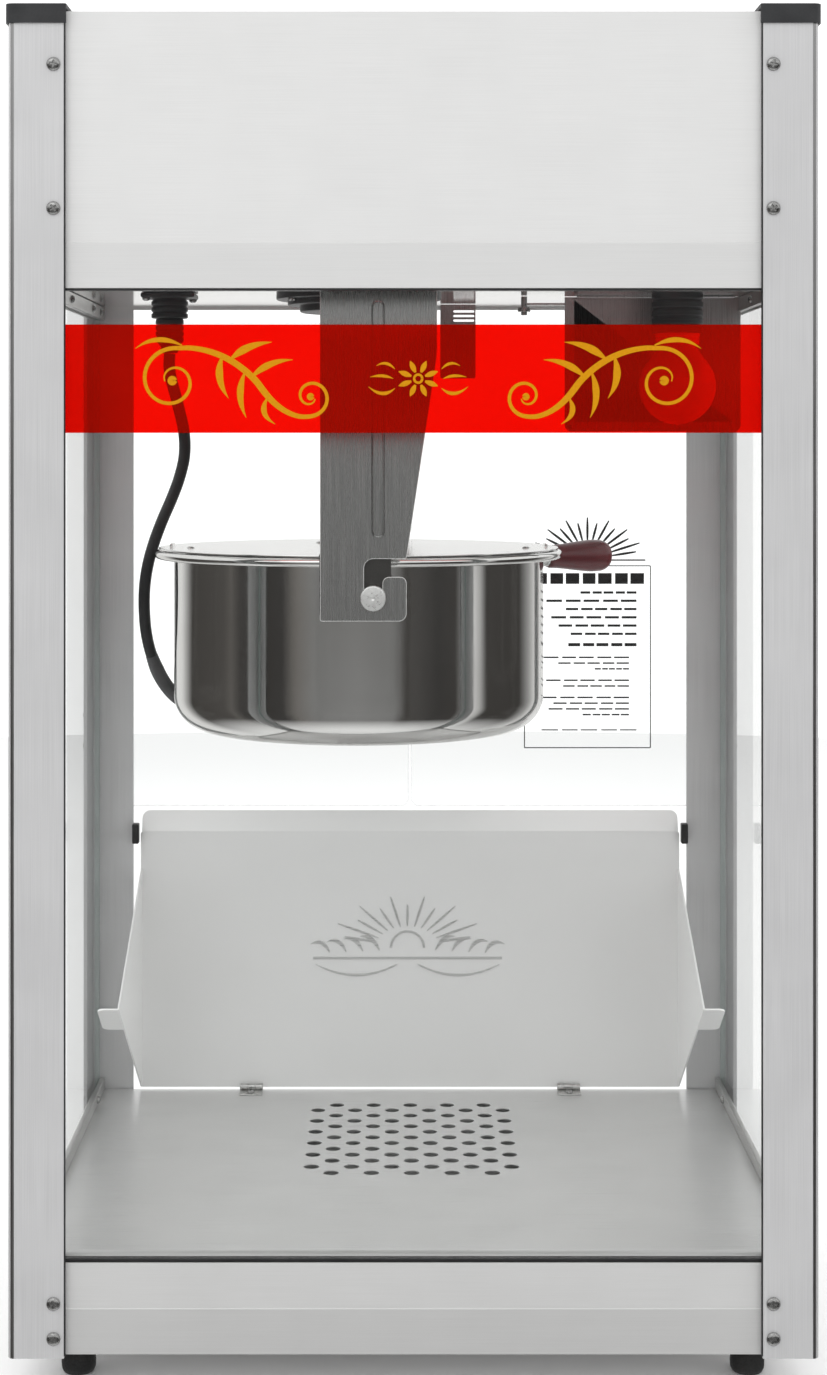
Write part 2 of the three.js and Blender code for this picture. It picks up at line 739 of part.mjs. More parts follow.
const handle = new THREE.Group();
handle.rotation.z = handleTurn;
kettle.add(handle);
const gripProfile = [
  [0, 0], [gripRadius - 1, 0], [gripRadius, 1], [gripRadius, 10],
  [gripEndRadius, handleLength - gripEndRadius],
  ...arc([0, handleLength - gripEndRadius], gripEndRadius, 15, 90, 5),
];
const grip = add('handle_grip', turned(gripProfile, 16).rotateY(Math.PI / 2), maroon, handle);
grip.position.set(handleStart, 0, handleZ);
const shankLength = handleStart - shellRadius - gap * 2;
const shankRod = rod(shankRadius, 0, shankLength, 12).rotateY(Math.PI / 2);
const shank = add('handle_shank', shankRod, stainless, handle);
shank.position.set(shellRadius + gap, 0, handleZ - shankRadius);

const terminalBox = add('terminal_box', box(
  [shellRadius + gap, -boxHalfWidth, shellBottom - 4],
  [shellRadius + gap + boxDepth, boxHalfWidth, shellBottom - 4 + boxHeight],
), blackPlastic, kettle);
terminalBox.rotation.z = boxTurn;

// ---------------------------------------------------------------- stirrer

function stirrerGeometry() {
  const bladeLow = panBottom + panWall + 2;
  const whole = join(
    rod(stirrerRadius, bladeLow, stirrerTop, 16),
    rod(stirrerRadius * 2.2, bladeLow, bladeLow + 12, 16),
    box([-bladeReach, -6, bladeLow], [bladeReach, 6, bladeLow + 5]),
  );
  const slotHalf = dogWidth / 2 + dogClearance;
  const slotFloor = headShoulder - dogHeight - dogClearance * 2.5;
  const slotReach = stirrerRadius * 2;
  return cut(whole, box([-slotReach, -slotHalf, slotFloor], [slotReach, slotHalf, stirrerTop + 1]));
}

add('stirrer', stirrerGeometry(), stainless, kettle);

// ---------------------------------------------------------------- rear doors

for (const [name, side] of [['left', -1], ['right', 1]]) {
  const [low, high] = side < 0 ? [-doorOuterX, -doorHalfSeam] : [doorHalfSeam, doorOuterX];
  const shape = roundedRectangle([low, doorBottom], [high, doorTop], doorCorner);
  add(`door_${name}`, alongY(shape, doorInnerY, doorOuterY, 3), clearGlass);

  const knob = add(`door_knob_${name}`, turnedAboutY([
    [0, gap], [knobRadius, gap], [knobRadius, 3], [knobRadius * 0.6, 6], [knobRadius * 0.6, 10],
    [knobRadius, 14], [knobRadius, knobReach - 2], [knobRadius - 2, knobReach], [0, knobReach],
  ], 16), blackPlastic);
  knob.position.set(side * knobInset, doorOuterY, (doorBottom + doorTop) / 2);

  [doorBottom + hingeInset, doorTop - hingeInset].forEach((centre, i) => {
    const leafInner = halfWidth + gap;
    const leaf = box(
      [leafInner, doorOuterY - hingeLeaf, centre - hingeHeight / 2],
      [leafInner + sheet, doorOuterY, centre + hingeHeight / 2],
    );
    const knuckle = rod(hingeRadius, centre - hingeHeight / 2, centre + hingeHeight / 2, 12)
      .translate(hingeX, doorOuterY, 0);
    const hinge = join(leaf, knuckle);
    if (side < 0) hinge.scale(-1, 1, 1);
    add(`door_hinge_${name}_${i === 0 ? 'lower' : 'upper'}`, hinge, stainless);
  });
}

// ---------------------------------------------------------------- tilt-out flap

// A panel with a lip that leans out, two wings towards the front, and a tab turned out from the
// lower edge of each wing. The tabs stop the flap against the rear posts.
function flapGeometry() {
  const outer = panelInnerY + flapProud;
  const inner = outer - sheet;
  const panel = box([-flapHalfWidth, inner, flapLow], [flapHalfWidth, outer, flapHigh]);
  const lip = outline([
    [inner + bite, flapHigh - 1], [outer - bite, flapHigh - 1],
    [outer + flapLipLean, flapTop], [inner + flapLipLean, flapTop],
  ]);
  const lipHalf = flapHalfWidth - flapLipInset;
  const pieces = [panel, alongX(lip, -lipHalf, lipHalf)];
  const wingLow = flapLow + 1;
  const wingTip = [innerY - wingReach, flapLow + wingTipRise];
  const footPoint = [outer - wingFoot, wingLow];
  const edge = new THREE.Vector2(footPoint[0] - wingTip[0], footPoint[1] - wingTip[1]).normalize();
  const across = new THREE.Vector2(-edge.y, edge.x);
  const wing = outline([
    wingTip, footPoint, [outer - bite, wingLow], [outer - bite, flapHigh - wingTopDrop],
  ]);
  // A corner of the tab's section: how far down the wing's edge, and how far in from it.
  const tabCorner = (down, into) => [
    wingTip[0] + edge.x * down + across.x * into,
    wingTip[1] + edge.y * down + across.y * into,
  ];
  const tab = outline([
    tabCorner(tabStart, bite), tabCorner(tabStart + tabLength, bite),
    tabCorner(tabStart + tabLength, bite + sheet), tabCorner(tabStart, bite + sheet),
  ]);
  for (const side of [-1, 1]) {
    const inside = side * (flapHalfWidth - bite - sheet);
    const outside = side * (flapHalfWidth - bite);
    const tabRoot = inside + side * bite;
    const tabEdge = side * (flapHalfWidth + tabReach);
    pieces.push(
      alongX(wing, Math.min(inside, outside), Math.max(inside, outside)),
      alongX(tab, Math.min(tabRoot, tabEdge), Math.max(tabRoot, tabEdge)),
    );
  }
  return join(...pieces);
}

add('flap', flapGeometry(), stainless);

// ---------------------------------------------------------------- drawer and base rear panel

const drawerFloor = baseBottom + drawerFloorRise;
const drawerTop = baseTop - drawerHeadroom;
const drawerFront = panelInnerY - drawerDepth;

add('base_rear_panel', cut(
  box([-innerX, panelInnerY, baseBottom], [innerX, panelOuterY, baseTop]),
  box(
    [-drawerHalfWidth - drawerClearance, panelInnerY - 1, drawerFloor - drawerClearance],
    [drawerHalfWidth + drawerClearance, panelOuterY + 1, drawerTop + drawerClearance],
  ),
), paintedPanel);

function drawerGeometry() {
  const faceLow = panelOuterY + gap;
  const faceHigh = faceLow + drawerFace;
  const tray = cut(
    box([-drawerHalfWidth, drawerFront, drawerFloor], [drawerHalfWidth, faceLow + 0.5, drawerTop]),
    box(
      [-drawerHalfWidth + sheet, drawerFront + sheet, drawerFloor + sheet],
      [drawerHalfWidth - sheet, faceLow - 1, drawerTop + 1],
    ),
  );
  const marginZ = drawerFaceMargin / 2;
  const face = box(
    [-drawerHalfWidth - drawerFaceMargin, faceLow, drawerFloor - marginZ],
    [drawerHalfWidth + drawerFaceMargin, faceHigh, drawerTop + marginZ],
  );
  const pullZ = (drawerFloor + drawerTop) / 2;
  const pull = box(
    [-pullHalfWidth, faceHigh - 1, pullZ - pullThickness / 2],
    [pullHalfWidth, faceHigh + pullReach, pullZ + pullThickness / 2],
  );
  return join(tray, face, pull);
}

add('drawer', drawerGeometry(), stainless);

// ---------------------------------------------------------------- origin

// The caps reach furthest forward and the door knobs furthest back.
const frontReach = halfDepth + capProud;
const rearReach = doorOuterY + knobReach;
machine.position.y = (frontReach - rearReach) / 2;

const object = new THREE.Group();
object.add(machine);
export default object;
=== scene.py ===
# %% [markdown]
# # A countertop popcorn machine
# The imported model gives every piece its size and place. This lesson gives each one its finish and its fine
# shape: drawn aluminium, folded sheet, moulded plastic, clear panes and a printed red header. The customer's
# side is -Y and the operator's side is +Y. Blender works in metres, and the helpers here take millimetres.

# %% Load the frame
import contextlib
import json
import math

import bmesh
import bpy
from mathutils import Matrix, Vector


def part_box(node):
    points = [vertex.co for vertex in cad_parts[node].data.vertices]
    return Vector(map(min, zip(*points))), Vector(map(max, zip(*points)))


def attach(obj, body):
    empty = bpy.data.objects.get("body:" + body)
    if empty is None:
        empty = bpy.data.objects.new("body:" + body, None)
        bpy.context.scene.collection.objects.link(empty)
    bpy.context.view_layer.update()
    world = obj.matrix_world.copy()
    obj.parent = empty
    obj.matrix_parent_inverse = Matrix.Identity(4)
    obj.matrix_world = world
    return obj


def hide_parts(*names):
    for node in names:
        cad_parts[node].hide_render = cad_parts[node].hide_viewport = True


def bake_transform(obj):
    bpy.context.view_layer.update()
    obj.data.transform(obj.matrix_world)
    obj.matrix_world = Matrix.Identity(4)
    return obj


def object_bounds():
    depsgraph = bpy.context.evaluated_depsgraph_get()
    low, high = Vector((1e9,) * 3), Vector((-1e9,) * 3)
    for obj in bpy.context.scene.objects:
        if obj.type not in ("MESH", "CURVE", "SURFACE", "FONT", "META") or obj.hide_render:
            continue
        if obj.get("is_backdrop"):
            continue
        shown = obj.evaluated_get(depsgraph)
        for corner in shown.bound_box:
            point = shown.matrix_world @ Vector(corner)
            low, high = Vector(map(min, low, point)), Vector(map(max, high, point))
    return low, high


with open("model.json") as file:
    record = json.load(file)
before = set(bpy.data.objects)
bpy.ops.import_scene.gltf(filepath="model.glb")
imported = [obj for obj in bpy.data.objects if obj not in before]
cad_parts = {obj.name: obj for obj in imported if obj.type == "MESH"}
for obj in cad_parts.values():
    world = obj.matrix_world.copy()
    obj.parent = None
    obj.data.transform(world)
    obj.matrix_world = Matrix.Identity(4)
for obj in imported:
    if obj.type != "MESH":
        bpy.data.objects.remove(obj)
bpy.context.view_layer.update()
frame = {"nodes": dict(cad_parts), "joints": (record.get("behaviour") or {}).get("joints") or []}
MM = 0.001

# %% [markdown]
# The machine is seen straight on, and its posts have to stay upright and parallel, so the camera stays level
# and its lens is shifted down instead of tilted. That is how a view camera keeps a tall product's sides true.

# %% Camera
CAMERA_X, CAMERA_DISTANCE, CAMERA_HEIGHT = -0.0102, 1.465, 0.590
post_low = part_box("post_front_left")[0]
camera_data = bpy.data.cameras.new("camera")
camera_data.lens = 61.79
camera_data.sensor_width = 36
camera_data.shift_x = 0.012
camera_data.shift_y = -0.1764
camera = bpy.data.objects.new("camera", camera_data)
camera.location = (CAMERA_X, post_low.y - CAMERA_DISTANCE, CAMERA_HEIGHT)
camera.rotation_euler = (math.pi / 2, 0, 0)
bpy.context.scene.collection.objects.link(camera)
bpy.context.scene.camera = camera
print("camera", [round(v, 4) for v in camera.location])

# %% [markdown]
# ## Ways of working
# Every piece starts as a primitive. An operator acts on all that is selected, and the frame arrives
# selected, so each step first drops the selection and takes up one piece alone.

# %% One piece at a time
def take(piece):
    """Selects this piece alone and makes it the active one."""
    bpy.ops.object.select_all(action="DESELECT")
    piece.select_set(True)
    bpy.context.view_layer.objects.active = piece
    return piece


@contextlib.contextmanager
def editing(piece, elements="VERT", select="SELECT"):
    """Edit mode on one piece, with all or nothing of it selected."""
    take(piece)
    bpy.ops.object.mode_set(mode="EDIT")
    bpy.ops.mesh.select_mode(type=elements)
    bpy.ops.mesh.select_all(action=select)
    yield
    bpy.ops.object.mode_set(mode="OBJECT")


def pick(piece, test):
    """In edit mode, selects the vertices, edges or faces whose place (mm) and direction pass the test."""
    mesh = bmesh.from_edit_mesh(piece.data)
    if "FACE" in mesh.select_mode:
        parts = [(f, f.calc_center_median(), f.normal) for f in mesh.faces]
    elif "EDGE" in mesh.select_mode:
        parts = [(e, (e.verts[0].co + e.verts[1].co) / 2, (e.verts[1].co - e.verts[0].co).normalized())
                 for e in mesh.edges]
    else:
        parts = [(v, v.co, v.normal) for v in mesh.verts]
    for part, place, direction in parts:
        part.select_set(bool(test(place / MM, direction)))
    mesh.select_flush_mode()
    bmesh.update_edit_mesh(piece.data)


def box_of(node):
    """A CAD node's lowest and highest corner, in millimetres."""
    low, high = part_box(node)
    return Vector(low) / MM, Vector(high) / MM


print("post", [round(v, 2) for v in box_of("post_front_left")[0]])

# %% [markdown]
# Folded and cut sheet is drawn as an outline and pulled out to its thickness. The outline is a filled circle
# with one vertex for each corner, moved to its place; a corner that has a radius is rounded by a bevel of
# that vertex. Round pieces use the same outline, unfilled, as the section for a spin.

# %% Outlines, blocks and turned pieces
AXES = {"X": (1, 2, 0), "Y": (0, 2, 1), "Z": (0, 1, 2)}


def axis_place(u, v, level, along):
    """A point of an outline, in metres, from its two coordinates and its level in millimetres."""
    place = [0.0, 0.0, 0.0]
    for axis, value in zip(AXES[along], (u, v, level)):
        place[axis] = value * MM
    return Vector(place)


def arc(centre, radius, degrees):
    """Points of a circle at each of the given angles in degrees."""
    turns = [math.radians(angle) for angle in degrees]
    return [(centre[0] + radius * math.cos(turn), centre[1] + radius * math.sin(turn)) for turn in turns]


def draw(corners, along="Z", level=0.0, fill="NGON"):
    """A closed outline of corners (u, v) or (u, v, radius), in mm, at one level of the axis along."""
    bpy.ops.object.select_all(action="DESELECT")
    bpy.ops.mesh.primitive_circle_add(vertices=len(corners), fill_type=fill)
    piece = bpy.context.object
    for vertex, corner in zip(piece.data.vertices, corners):
        vertex.co = axis_place(corner[0], corner[1], level, along)
    for radius in sorted({c[2] for c in corners if len(c) > 2 and c[2]}, reverse=True):
        rounded = [c for c in corners if len(c) > 2 and c[2] == radius]
        places = [axis_place(c[0], c[1], level, along) / MM for c in rounded]
        with editing(piece, "VERT", "DESELECT"):
            pick(piece, lambda at, _: any((at - p).length < 0.01 for p in places))
            steps = max(2, min(16, round(radius) + 1))
            bpy.ops.mesh.bevel(offset=radius * MM, segments=steps, affect="VERTICES")
    return piece


def cut_out(corners, along, low, high):
    """An outline pulled out along its axis, from low to high."""
    piece = draw(corners, along, low)
    with editing(piece):
        pull = axis_place(0, 0, high - low, along)
        bpy.ops.mesh.extrude_region_move(TRANSFORM_OT_translate={"value": pull})
        bpy.ops.mesh.select_all(action="SELECT")
        bpy.ops.mesh.normals_make_consistent(inside=False)
    return piece


def block(low, high, edge=0.5, segments=2):
    """A cube at its size and place, with its edges bevelled."""
    bpy.ops.object.select_all(action="DESELECT")
    low, high = Vector(low), Vector(high)
    bpy.ops.mesh.primitive_cube_add(size=1, location=(low + high) / 2 * MM, scale=(high - low) * MM)
    piece = bpy.context.object
    bpy.ops.object.transform_apply(location=True, rotation=True, scale=True)
    with editing(piece, "EDGE"):
        bpy.ops.mesh.bevel(offset=edge * MM, segments=segments, affect="EDGES")
    return piece


def turned(profile, centre, steps=48, toward=(0, 0, 1)):
    """A profile of (radius, height) spun about an axis that starts at centre and runs toward a direction."""
    piece = draw(profile, "Y", 0.0, "NOTHING")
    with editing(piece, "EDGE", "DESELECT"):
        if profile[0][0] == 0 and profile[-1][0] == 0:
            pick(piece, lambda at, way: abs(at.x) < 1e-4 and abs(way.x) < 1e-4)
            bpy.ops.mesh.delete(type="EDGE")
        bpy.ops.mesh.select_all(action="SELECT")
        bpy.ops.mesh.spin(steps=steps, angle=math.tau, center=(0, 0, 0), axis=(0, 0, 1))
        bpy.ops.mesh.select_all(action="SELECT")
        bpy.ops.mesh.remove_doubles(threshold=5e-6)
        bpy.ops.mesh.normals_make_consistent(inside=False)
    piece.rotation_mode = "QUATERNION"
    piece.rotation_quaternion = Vector((0, 0, 1)).rotation_difference(Vector(toward))
    piece.location = Vector(centre) * MM
    take(piece)
    bpy.ops.object.transform_apply(location=True, rotation=True, scale=True)
    return piece


trial = turned([(0, 0), (10, 0, 2), (10, 30, 2), (0, 30)], (0, 0, 0))
print("a turned trial piece has", len(trial.data.polygons), "faces")
bpy.data.objects.remove(trial)

# %% [markdown]
# A few more steps come back often: joining pieces into one solid or cutting one from another, softening
# edges, and copying a finished piece to its other places. Each is applied at once.

# %% Join, cut, soften and copy
def combine(piece, others, operation="UNION"):
    """Joins other solids to a piece, or cuts them from it, and removes them."""
    for other in others:
        modifier = piece.modifiers.new("combine", "BOOLEAN")
        modifier.operation = operation
        modifier.solver = "EXACT"
        modifier.object = other
        take(piece)
        bpy.ops.object.modifier_apply(modifier=modifier.name)
        bpy.data.objects.remove(other)
    return piece


def soften(piece, width, segments=2, angle=30):
    """Bevels every edge that is sharper than the angle."""
    modifier = piece.modifiers.new("soften", "BEVEL")
    modifier.width = width * MM
    modifier.segments = segments
    modifier.angle_limit = math.radians(angle)
    take(piece)
    bpy.ops.object.modifier_apply(modifier=modifier.name)
    return piece


def copied(piece, matrix):
    """A copy with its own mesh, put through a matrix whose lengths are in millimetres."""
    copy = piece.copy()
    copy.data = piece.data.copy()
    bpy.context.scene.collection.objects.link(copy)
    scale = Matrix.Scale(MM, 4)
    copy.data.transform(scale @ matrix @ scale.inverted())
    if matrix.determinant() < 0:
        copy.data.flip_normals()
    return copy


def joined(pieces):
    """Several pieces as one object."""
    bpy.ops.object.select_all(action="DESELECT")
    for piece in pieces:
        piece.select_set(True)
    bpy.context.view_layer.objects.active = pieces[0]
    bpy.ops.object.join()
    return pieces[0]


def moved(x=0.0, y=0.0, z=0.0):
    return Matrix.Translation((x, y, z))


MIRROR_X = Matrix.Diagonal((-1, 1, 1, 1))
print("helpers ready")

# %% [markdown]
# ## Light
# The machine stands on a white floor in a white room, which lights it softly from all sides, in front of a
# backdrop that is brighter still. Polished steel shows whatever is around it, so it also needs something dark
# to reflect. Glossy rays alone see a ring of black flags and tall strip lights at eye level, with plain white
# above and below it.

# %% A small way of writing nodes
def node(tree, kind, inputs=(), **settings):
    """A shader node with its settings, its inputs given as values or as other nodes' outputs."""
    made = tree.nodes.new("ShaderNode" + kind)
    for name, value in settings.items():
        setattr(made, name, value)
    for key, value in dict(inputs).items():
        if isinstance(value, bpy.types.NodeSocket):
            tree.links.new(value, made.inputs[key])
        else:
            made.inputs[key].default_value = value
    return made


def mixed(tree, factor, first, second):
    """Two colours mixed by a factor."""
    mix = node(tree, "Mix", {0: factor, 6: first, 7: second}, data_type="RGBA")
    return mix.outputs[2]


# %% Studio
# Brightness at each bearing in degrees: 0 is in front of the machine, and positive is towards +X.
FLAGS = [
    (-180, 0.95), (-141, 0.85), (-132, 0.45), (-124, 0.06), (-90, 0.08), (-84, 0.12), (-76, 0.04),
    (-66, 0.05), (-62, 0.3), (-57, 0.04), (-46, 0.03), (-37, 0.17), (-26, 0.22), (0, 0.25), (22, 0.22),
    (29, 0.06), (50, 0.03), (62, 0.05), (68, 0.3), (75, 0.75), (80, 0.5), (85, 0.05), (118, 0.05),
    (130, 0.35), (142, 0.8), (180, 0.95),
]
world = bpy.data.worlds.new("studio")
bpy.context.scene.world = world
world.use_nodes = True
bpy.context.scene.view_settings.view_transform = "Standard"
studio = world.node_tree
studio.nodes.clear()
direction = node(studio, "SeparateXYZ", {0: node(studio, "TexCoord").outputs["Generated"]})
toward = node(studio, "Math", {0: direction.outputs["Y"], 1: -1.0}, operation="MULTIPLY")
bearing = node(studio, "Math", {0: direction.outputs["X"], 1: toward.outputs[0]}, operation="ARCTAN2")
turn = node(studio, "MapRange", {"Value": bearing.outputs[0], "From Min": -math.pi, "From Max": math.pi})
flags = node(studio, "ValToRGB", {"Fac": turn.outputs[0]})
stops = flags.color_ramp.elements
for index, (degrees, brightness) in enumerate(FLAGS):
    place = (degrees + 180) / 360
    stop = stops[0] if index == 0 else stops[-1] if index == len(FLAGS) - 1 else stops.new(place)
    stop.position = place
    warmth = 0.93 if brightness < 0.2 else 0.99
    stop.color = (brightness, brightness * warmth, brightness * warmth ** 2, 1)
height = direction.outputs["Z"]
above = node(studio, "MapRange", {"Value": height, "From Min": 0.05, "From Max": 0.16})
below = node(studio, "MapRange", {"Value": height, "From Min": -0.5, "From Max": -0.9})
off_level = node(studio, "Math", {0: above.outputs[0], 1: below.outputs[0]}, operation="MAXIMUM")
white = (1.0, 1.0, 1.0, 1.0)
glossy = mixed(studio, off_level.outputs[0], flags.outputs["Color"], white)
rays = node(studio, "LightPath")
lit = mixed(studio, rays.outputs["Is Glossy Ray"], white, glossy)
backdrop = (1.3, 1.3, 1.3, 1.0)
seen = mixed(studio, rays.outputs["Is Camera Ray"], lit, backdrop)
background = node(studio, "Background", {"Color": seen, "Strength": 1.0})
studio.links.new(background.outputs[0], node(studio, "OutputWorld").inputs["Surface"])
print("studio with", len(stops), "flags and strips")

# %% [markdown]
# One large soft lamp high in front gives the folds and screws a little direction. Smaller lamps at both sides
# and behind reach through the panes to the deck, and are left out of reflections. The floor is a plain pale
# disc. It doesn't belong to the machine, so it is marked as stage.

# %% Lamps and floor
def lamp(name, place, aim, size, energy):
    """A soft lamp that points at a spot and is hidden from the camera."""
    data = bpy.data.lights.new(name, "AREA")
    data.size, data.energy = size, energy
    made = bpy.data.objects.new(name, data)
    made.location = place
    made.rotation_euler = (Vector(aim) - made.location).to_track_quat("-Z", "Y").to_euler()
    made.visible_camera = False
    bpy.context.scene.collection.objects.link(made)
    return made


key = lamp("key", (-0.9, -1.9, 2.2), (0, 0, 0.45), 1.8, 5)
key.data.shape = "RECTANGLE"
key.data.size_y = 1.2
bpy.ops.object.select_all(action="DESELECT")
bpy.ops.mesh.primitive_circle_add(vertices=96, radius=3.2, fill_type="NGON")
floor = bpy.context.object
floor.name = "floor"
floor.visible_glossy = False
floor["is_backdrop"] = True
FILLS = [
    ("left", (-1.7, -0.1, 1.0), 1.2, 9), ("right", (1.7, -0.1, 1.0), 1.2, 9), ("rear", (0, 1.9, 1.5), 1.5, 6),
]
for word, place, size, energy in FILLS:
    lamp(f"fill_{word}", place, (0, 0, 0.15), size, energy).visible_glossy = False
print("key lamp at", [round(v, 2) for v in key.location])

# %% [markdown]
# ## Finishes
# Each finish is the Principled shader with its grain, brushing or mottling made of stretched noise. A noise
# cell's size is given in millimetres, one for all ways or three for X, Y and Z, so a brushed sheet has long
# thin cells along its brushing.

# %% Building a finish
def finish(name, colour, roughness, metallic=0.0, **sockets):
    """A plain Principled material, with any more sockets given by name."""
    material = bpy.data.materials.new(name)
    material.use_nodes = True
    shader = material.node_tree.nodes["Principled BSDF"]
    settings = {"Base Color": (*colour, 1.0), "Roughness": roughness, "Metallic": metallic, **sockets}
    for socket, value in settings.items():
        shader.inputs[socket.replace("_", " ")].default_value = value
    return material


def noise(material, size, detail=3.0, kind="TexNoise"):
    """A pattern on the piece's own coordinates, its cells (x, y, z) millimetres or one size all ways."""
    tree = material.node_tree
    cell = size if isinstance(size, tuple) else (size, size, size)
    coordinates = node(tree, "TexCoord").outputs["Object"]
    per_metre = tuple(1 / (s * MM) for s in cell)
    mapping = node(tree, "Mapping", {"Vector": coordinates, "Scale": per_metre})
    settings = {"Vector": mapping.outputs[0], "Scale": 1.0}
    if kind == "TexNoise":
        settings["Detail"] = detail
    made = node(tree, kind, settings)
    return made.outputs["Distance" if kind == "TexVoronoi" else "Fac"]


def spread(material, value, socket, low, high, start=0.3, end=0.7):
    """Drives a socket of the shader by a pattern: low where the pattern is at start, high at end."""
    tree = material.node_tree
    shader = tree.nodes["Principled BSDF"]
    share = node(tree, "MapRange", {"Value": value, "From Min": start, "From Max": end}).outputs[0]
    if isinstance(low, tuple):
        out = mixed(tree, share, (*low, 1.0), (*high, 1.0))
    else:
        out = node(tree, "MapRange", {"Value": share, "To Min": low, "To Max": high}).outputs[0]
    tree.links.new(out, shader.inputs[socket])


def vary(material, size, detail, socket, low, high):
    """Spreads a noise of its own over a socket."""
    spread(material, noise(material, size, detail), socket, low, high)


def relief(material, value, depth):
    """A fine bump, depth millimetres high."""
    tree = material.node_tree
    bump = node(tree, "Bump", {"Height": value, "Distance": depth * MM, "Strength": 1.0})
    tree.links.new(bump.outputs[0], tree.nodes["Principled BSDF"].inputs["Normal"])


print("finish helpers ready")

# %% [markdown]
# The metals: drawn aluminium with die lines along the posts, coated panels with a faint brushing, stainless
# steel brushed the way each sheet runs, the kettle's mirror polish, and spangled zinc. Sheets of one metal
# take copies of one finish, each painted a little lighter or darker than the next: painted light and shade
# for the light that falls on each sheet.

# %% Aluminium and coated sheet
def brushed(name, colour, dark, roughness, metallic, lines, depth):
    """A brushed metal: fine lines of one size, with slow variation across the sheet."""
    material = finish(name, colour, roughness, metallic)
    fine = noise(material, lines, 4.0)
    slow = noise(material, tuple(max(s * 0.6, 45) for s in lines), 2.0)
    both = node(material.node_tree, "Mix", {0: 0.35, 2: fine, 3: slow}).outputs[0]
    spread(material, both, "Base Color", dark, colour, 0.35, 0.62)
    spread(material, fine, "Roughness", roughness - 0.07, roughness + 0.09)
    relief(material, fine, depth)
    return material


def coated(name, colour, dark, roughness=0.42, metallic=0.15, lines=(60, 0.4, 0.4)):
    """A coated sheet, whose brushing still shows faintly."""
    return brushed(name, colour, dark, roughness, metallic, lines, 0.008)


DIE_LINES = (0.5, 0.5, 90)
drawn_aluminium = brushed(
    "drawn_aluminium", (0.66, 0.66, 0.665), (0.58, 0.58, 0.585), 0.46, 0.35, DIE_LINES, 0.012)
corner_aluminium = brushed(
    "corner_aluminium", (0.42, 0.42, 0.42), (0.36, 0.36, 0.36), 0.28, 1.0, DIE_LINES, 0.006)
coated_hood = coated("coated_hood", (0.735, 0.735, 0.73), (0.695, 0.695, 0.69))
# The lower strips and the base panel take darker copies of the hood's coat: painted shade for the light that
# reaches them less.
hood_strip_painted_shade = coated("hood_strip_painted_shade", (0.675, 0.675, 0.67), (0.64, 0.64, 0.635))
coated_base_painted_shade = coated("coated_base_painted_shade", (0.61, 0.61, 0.605), (0.575, 0.575, 0.57))
base_strip_painted_shade = coated("base_strip_painted_shade", (0.535, 0.535, 0.53), (0.505, 0.505, 0.50))
coated_rear = coated("coated_rear", (0.64, 0.64, 0.635), (0.60, 0.60, 0.595), 0.45, 0.2)
coated_side = coated("coated_side", (0.58, 0.58, 0.575), (0.55, 0.55, 0.545), 0.42, 0.2, (0.4, 60, 0.4))
print("coated sheet:", coated_hood.name, coated_base_painted_shade.name, coated_rear.name, coated_side.name)

# %% Steel
FINE_LINES = (80, 0.25, 0.25)
brushed_steel = brushed(
    "brushed_steel", (0.79, 0.79, 0.785), (0.745, 0.745, 0.74), 0.33, 0.7, FINE_LINES, 0.005)
flap_steel = brushed("flap_steel", (0.93, 0.93, 0.925), (0.90, 0.90, 0.895), 0.36, 0.3, FINE_LINES, 0.004)
# A darker copy of the flap's steel for the pressed ornament: painted shade along its raised lines.
pressed_painted_shade_steel = brushed(
    "pressed_painted_shade_steel", (0.76, 0.76, 0.755), (0.72, 0.72, 0.715), 0.30, 0.8, FINE_LINES, 0.003)
deck_steel = brushed("deck_steel", (0.69, 0.69, 0.685), (0.62, 0.62, 0.615), 0.33, 0.7, FINE_LINES, 0.006)
upright_steel = brushed(
    "upright_steel", (0.60, 0.60, 0.60), (0.52, 0.52, 0.52), 0.30, 1.0, (0.3, 0.3, 50), 0.008)
hanger_steel = brushed(
    "hanger_steel", (0.44, 0.44, 0.435), (0.425, 0.425, 0.42), 0.24, 1.0, (0.5, 0.5, 60), 0.0004)
pin_steel = brushed("pin_steel", (0.90, 0.90, 0.89), (0.78, 0.78, 0.77), 0.32, 0.7, (2, 2, 2), 0.004)
# The crossbar steel is painted near black: a painted shadow, so the J-slot above each pin reads dark.
bridge_painted_shadow_steel = brushed(
    "bridge_painted_shadow_steel", (0.12, 0.115, 0.11), (0.09, 0.088, 0.085), 0.35, 1.0, (0.5, 60, 0.5), 0.004)
ceiling_steel = brushed(
    "ceiling_steel", (0.94, 0.94, 0.93), (0.91, 0.91, 0.90), 0.12, 1.0, (60, 0.4, 0.4), 0.001)
lid_steel = brushed(
    "lid_steel", (0.90, 0.895, 0.885), (0.86, 0.855, 0.845), 0.16, 1.0, (50, 0.5, 0.5), 0.003)
# A brighter copy of the steel for the hangers' bevelled edges: a painted highlight.
cut_edge_painted_highlight = brushed("cut_edge_painted_highlight", (0.92, 0.92, 0.91), (0.85, 0.85, 0.84), 0.3, 0.4, (3, 3, 3), 0.003)
deep_steel = brushed("deep_steel", (0.62, 0.62, 0.61), (0.52, 0.52, 0.51), 0.34, 1.0, (0.3, 45, 0.3), 0.010)
print("steel:", ", ".join(m.name for m in bpy.data.materials if m.name.endswith("_steel")))

# %% Mirror polish, zinc and plated screws
def plating(name, colour, roughness, shades, glosses):
    """A small bright part, mottled at the scale of a screw's head."""
    material = finish(name, colour, roughness, 1.0)
    vary(material, 1.2, 4.0, "Base Color", *shades)
    vary(material, 0.6, 3.0, "Roughness", *glosses)
    return material


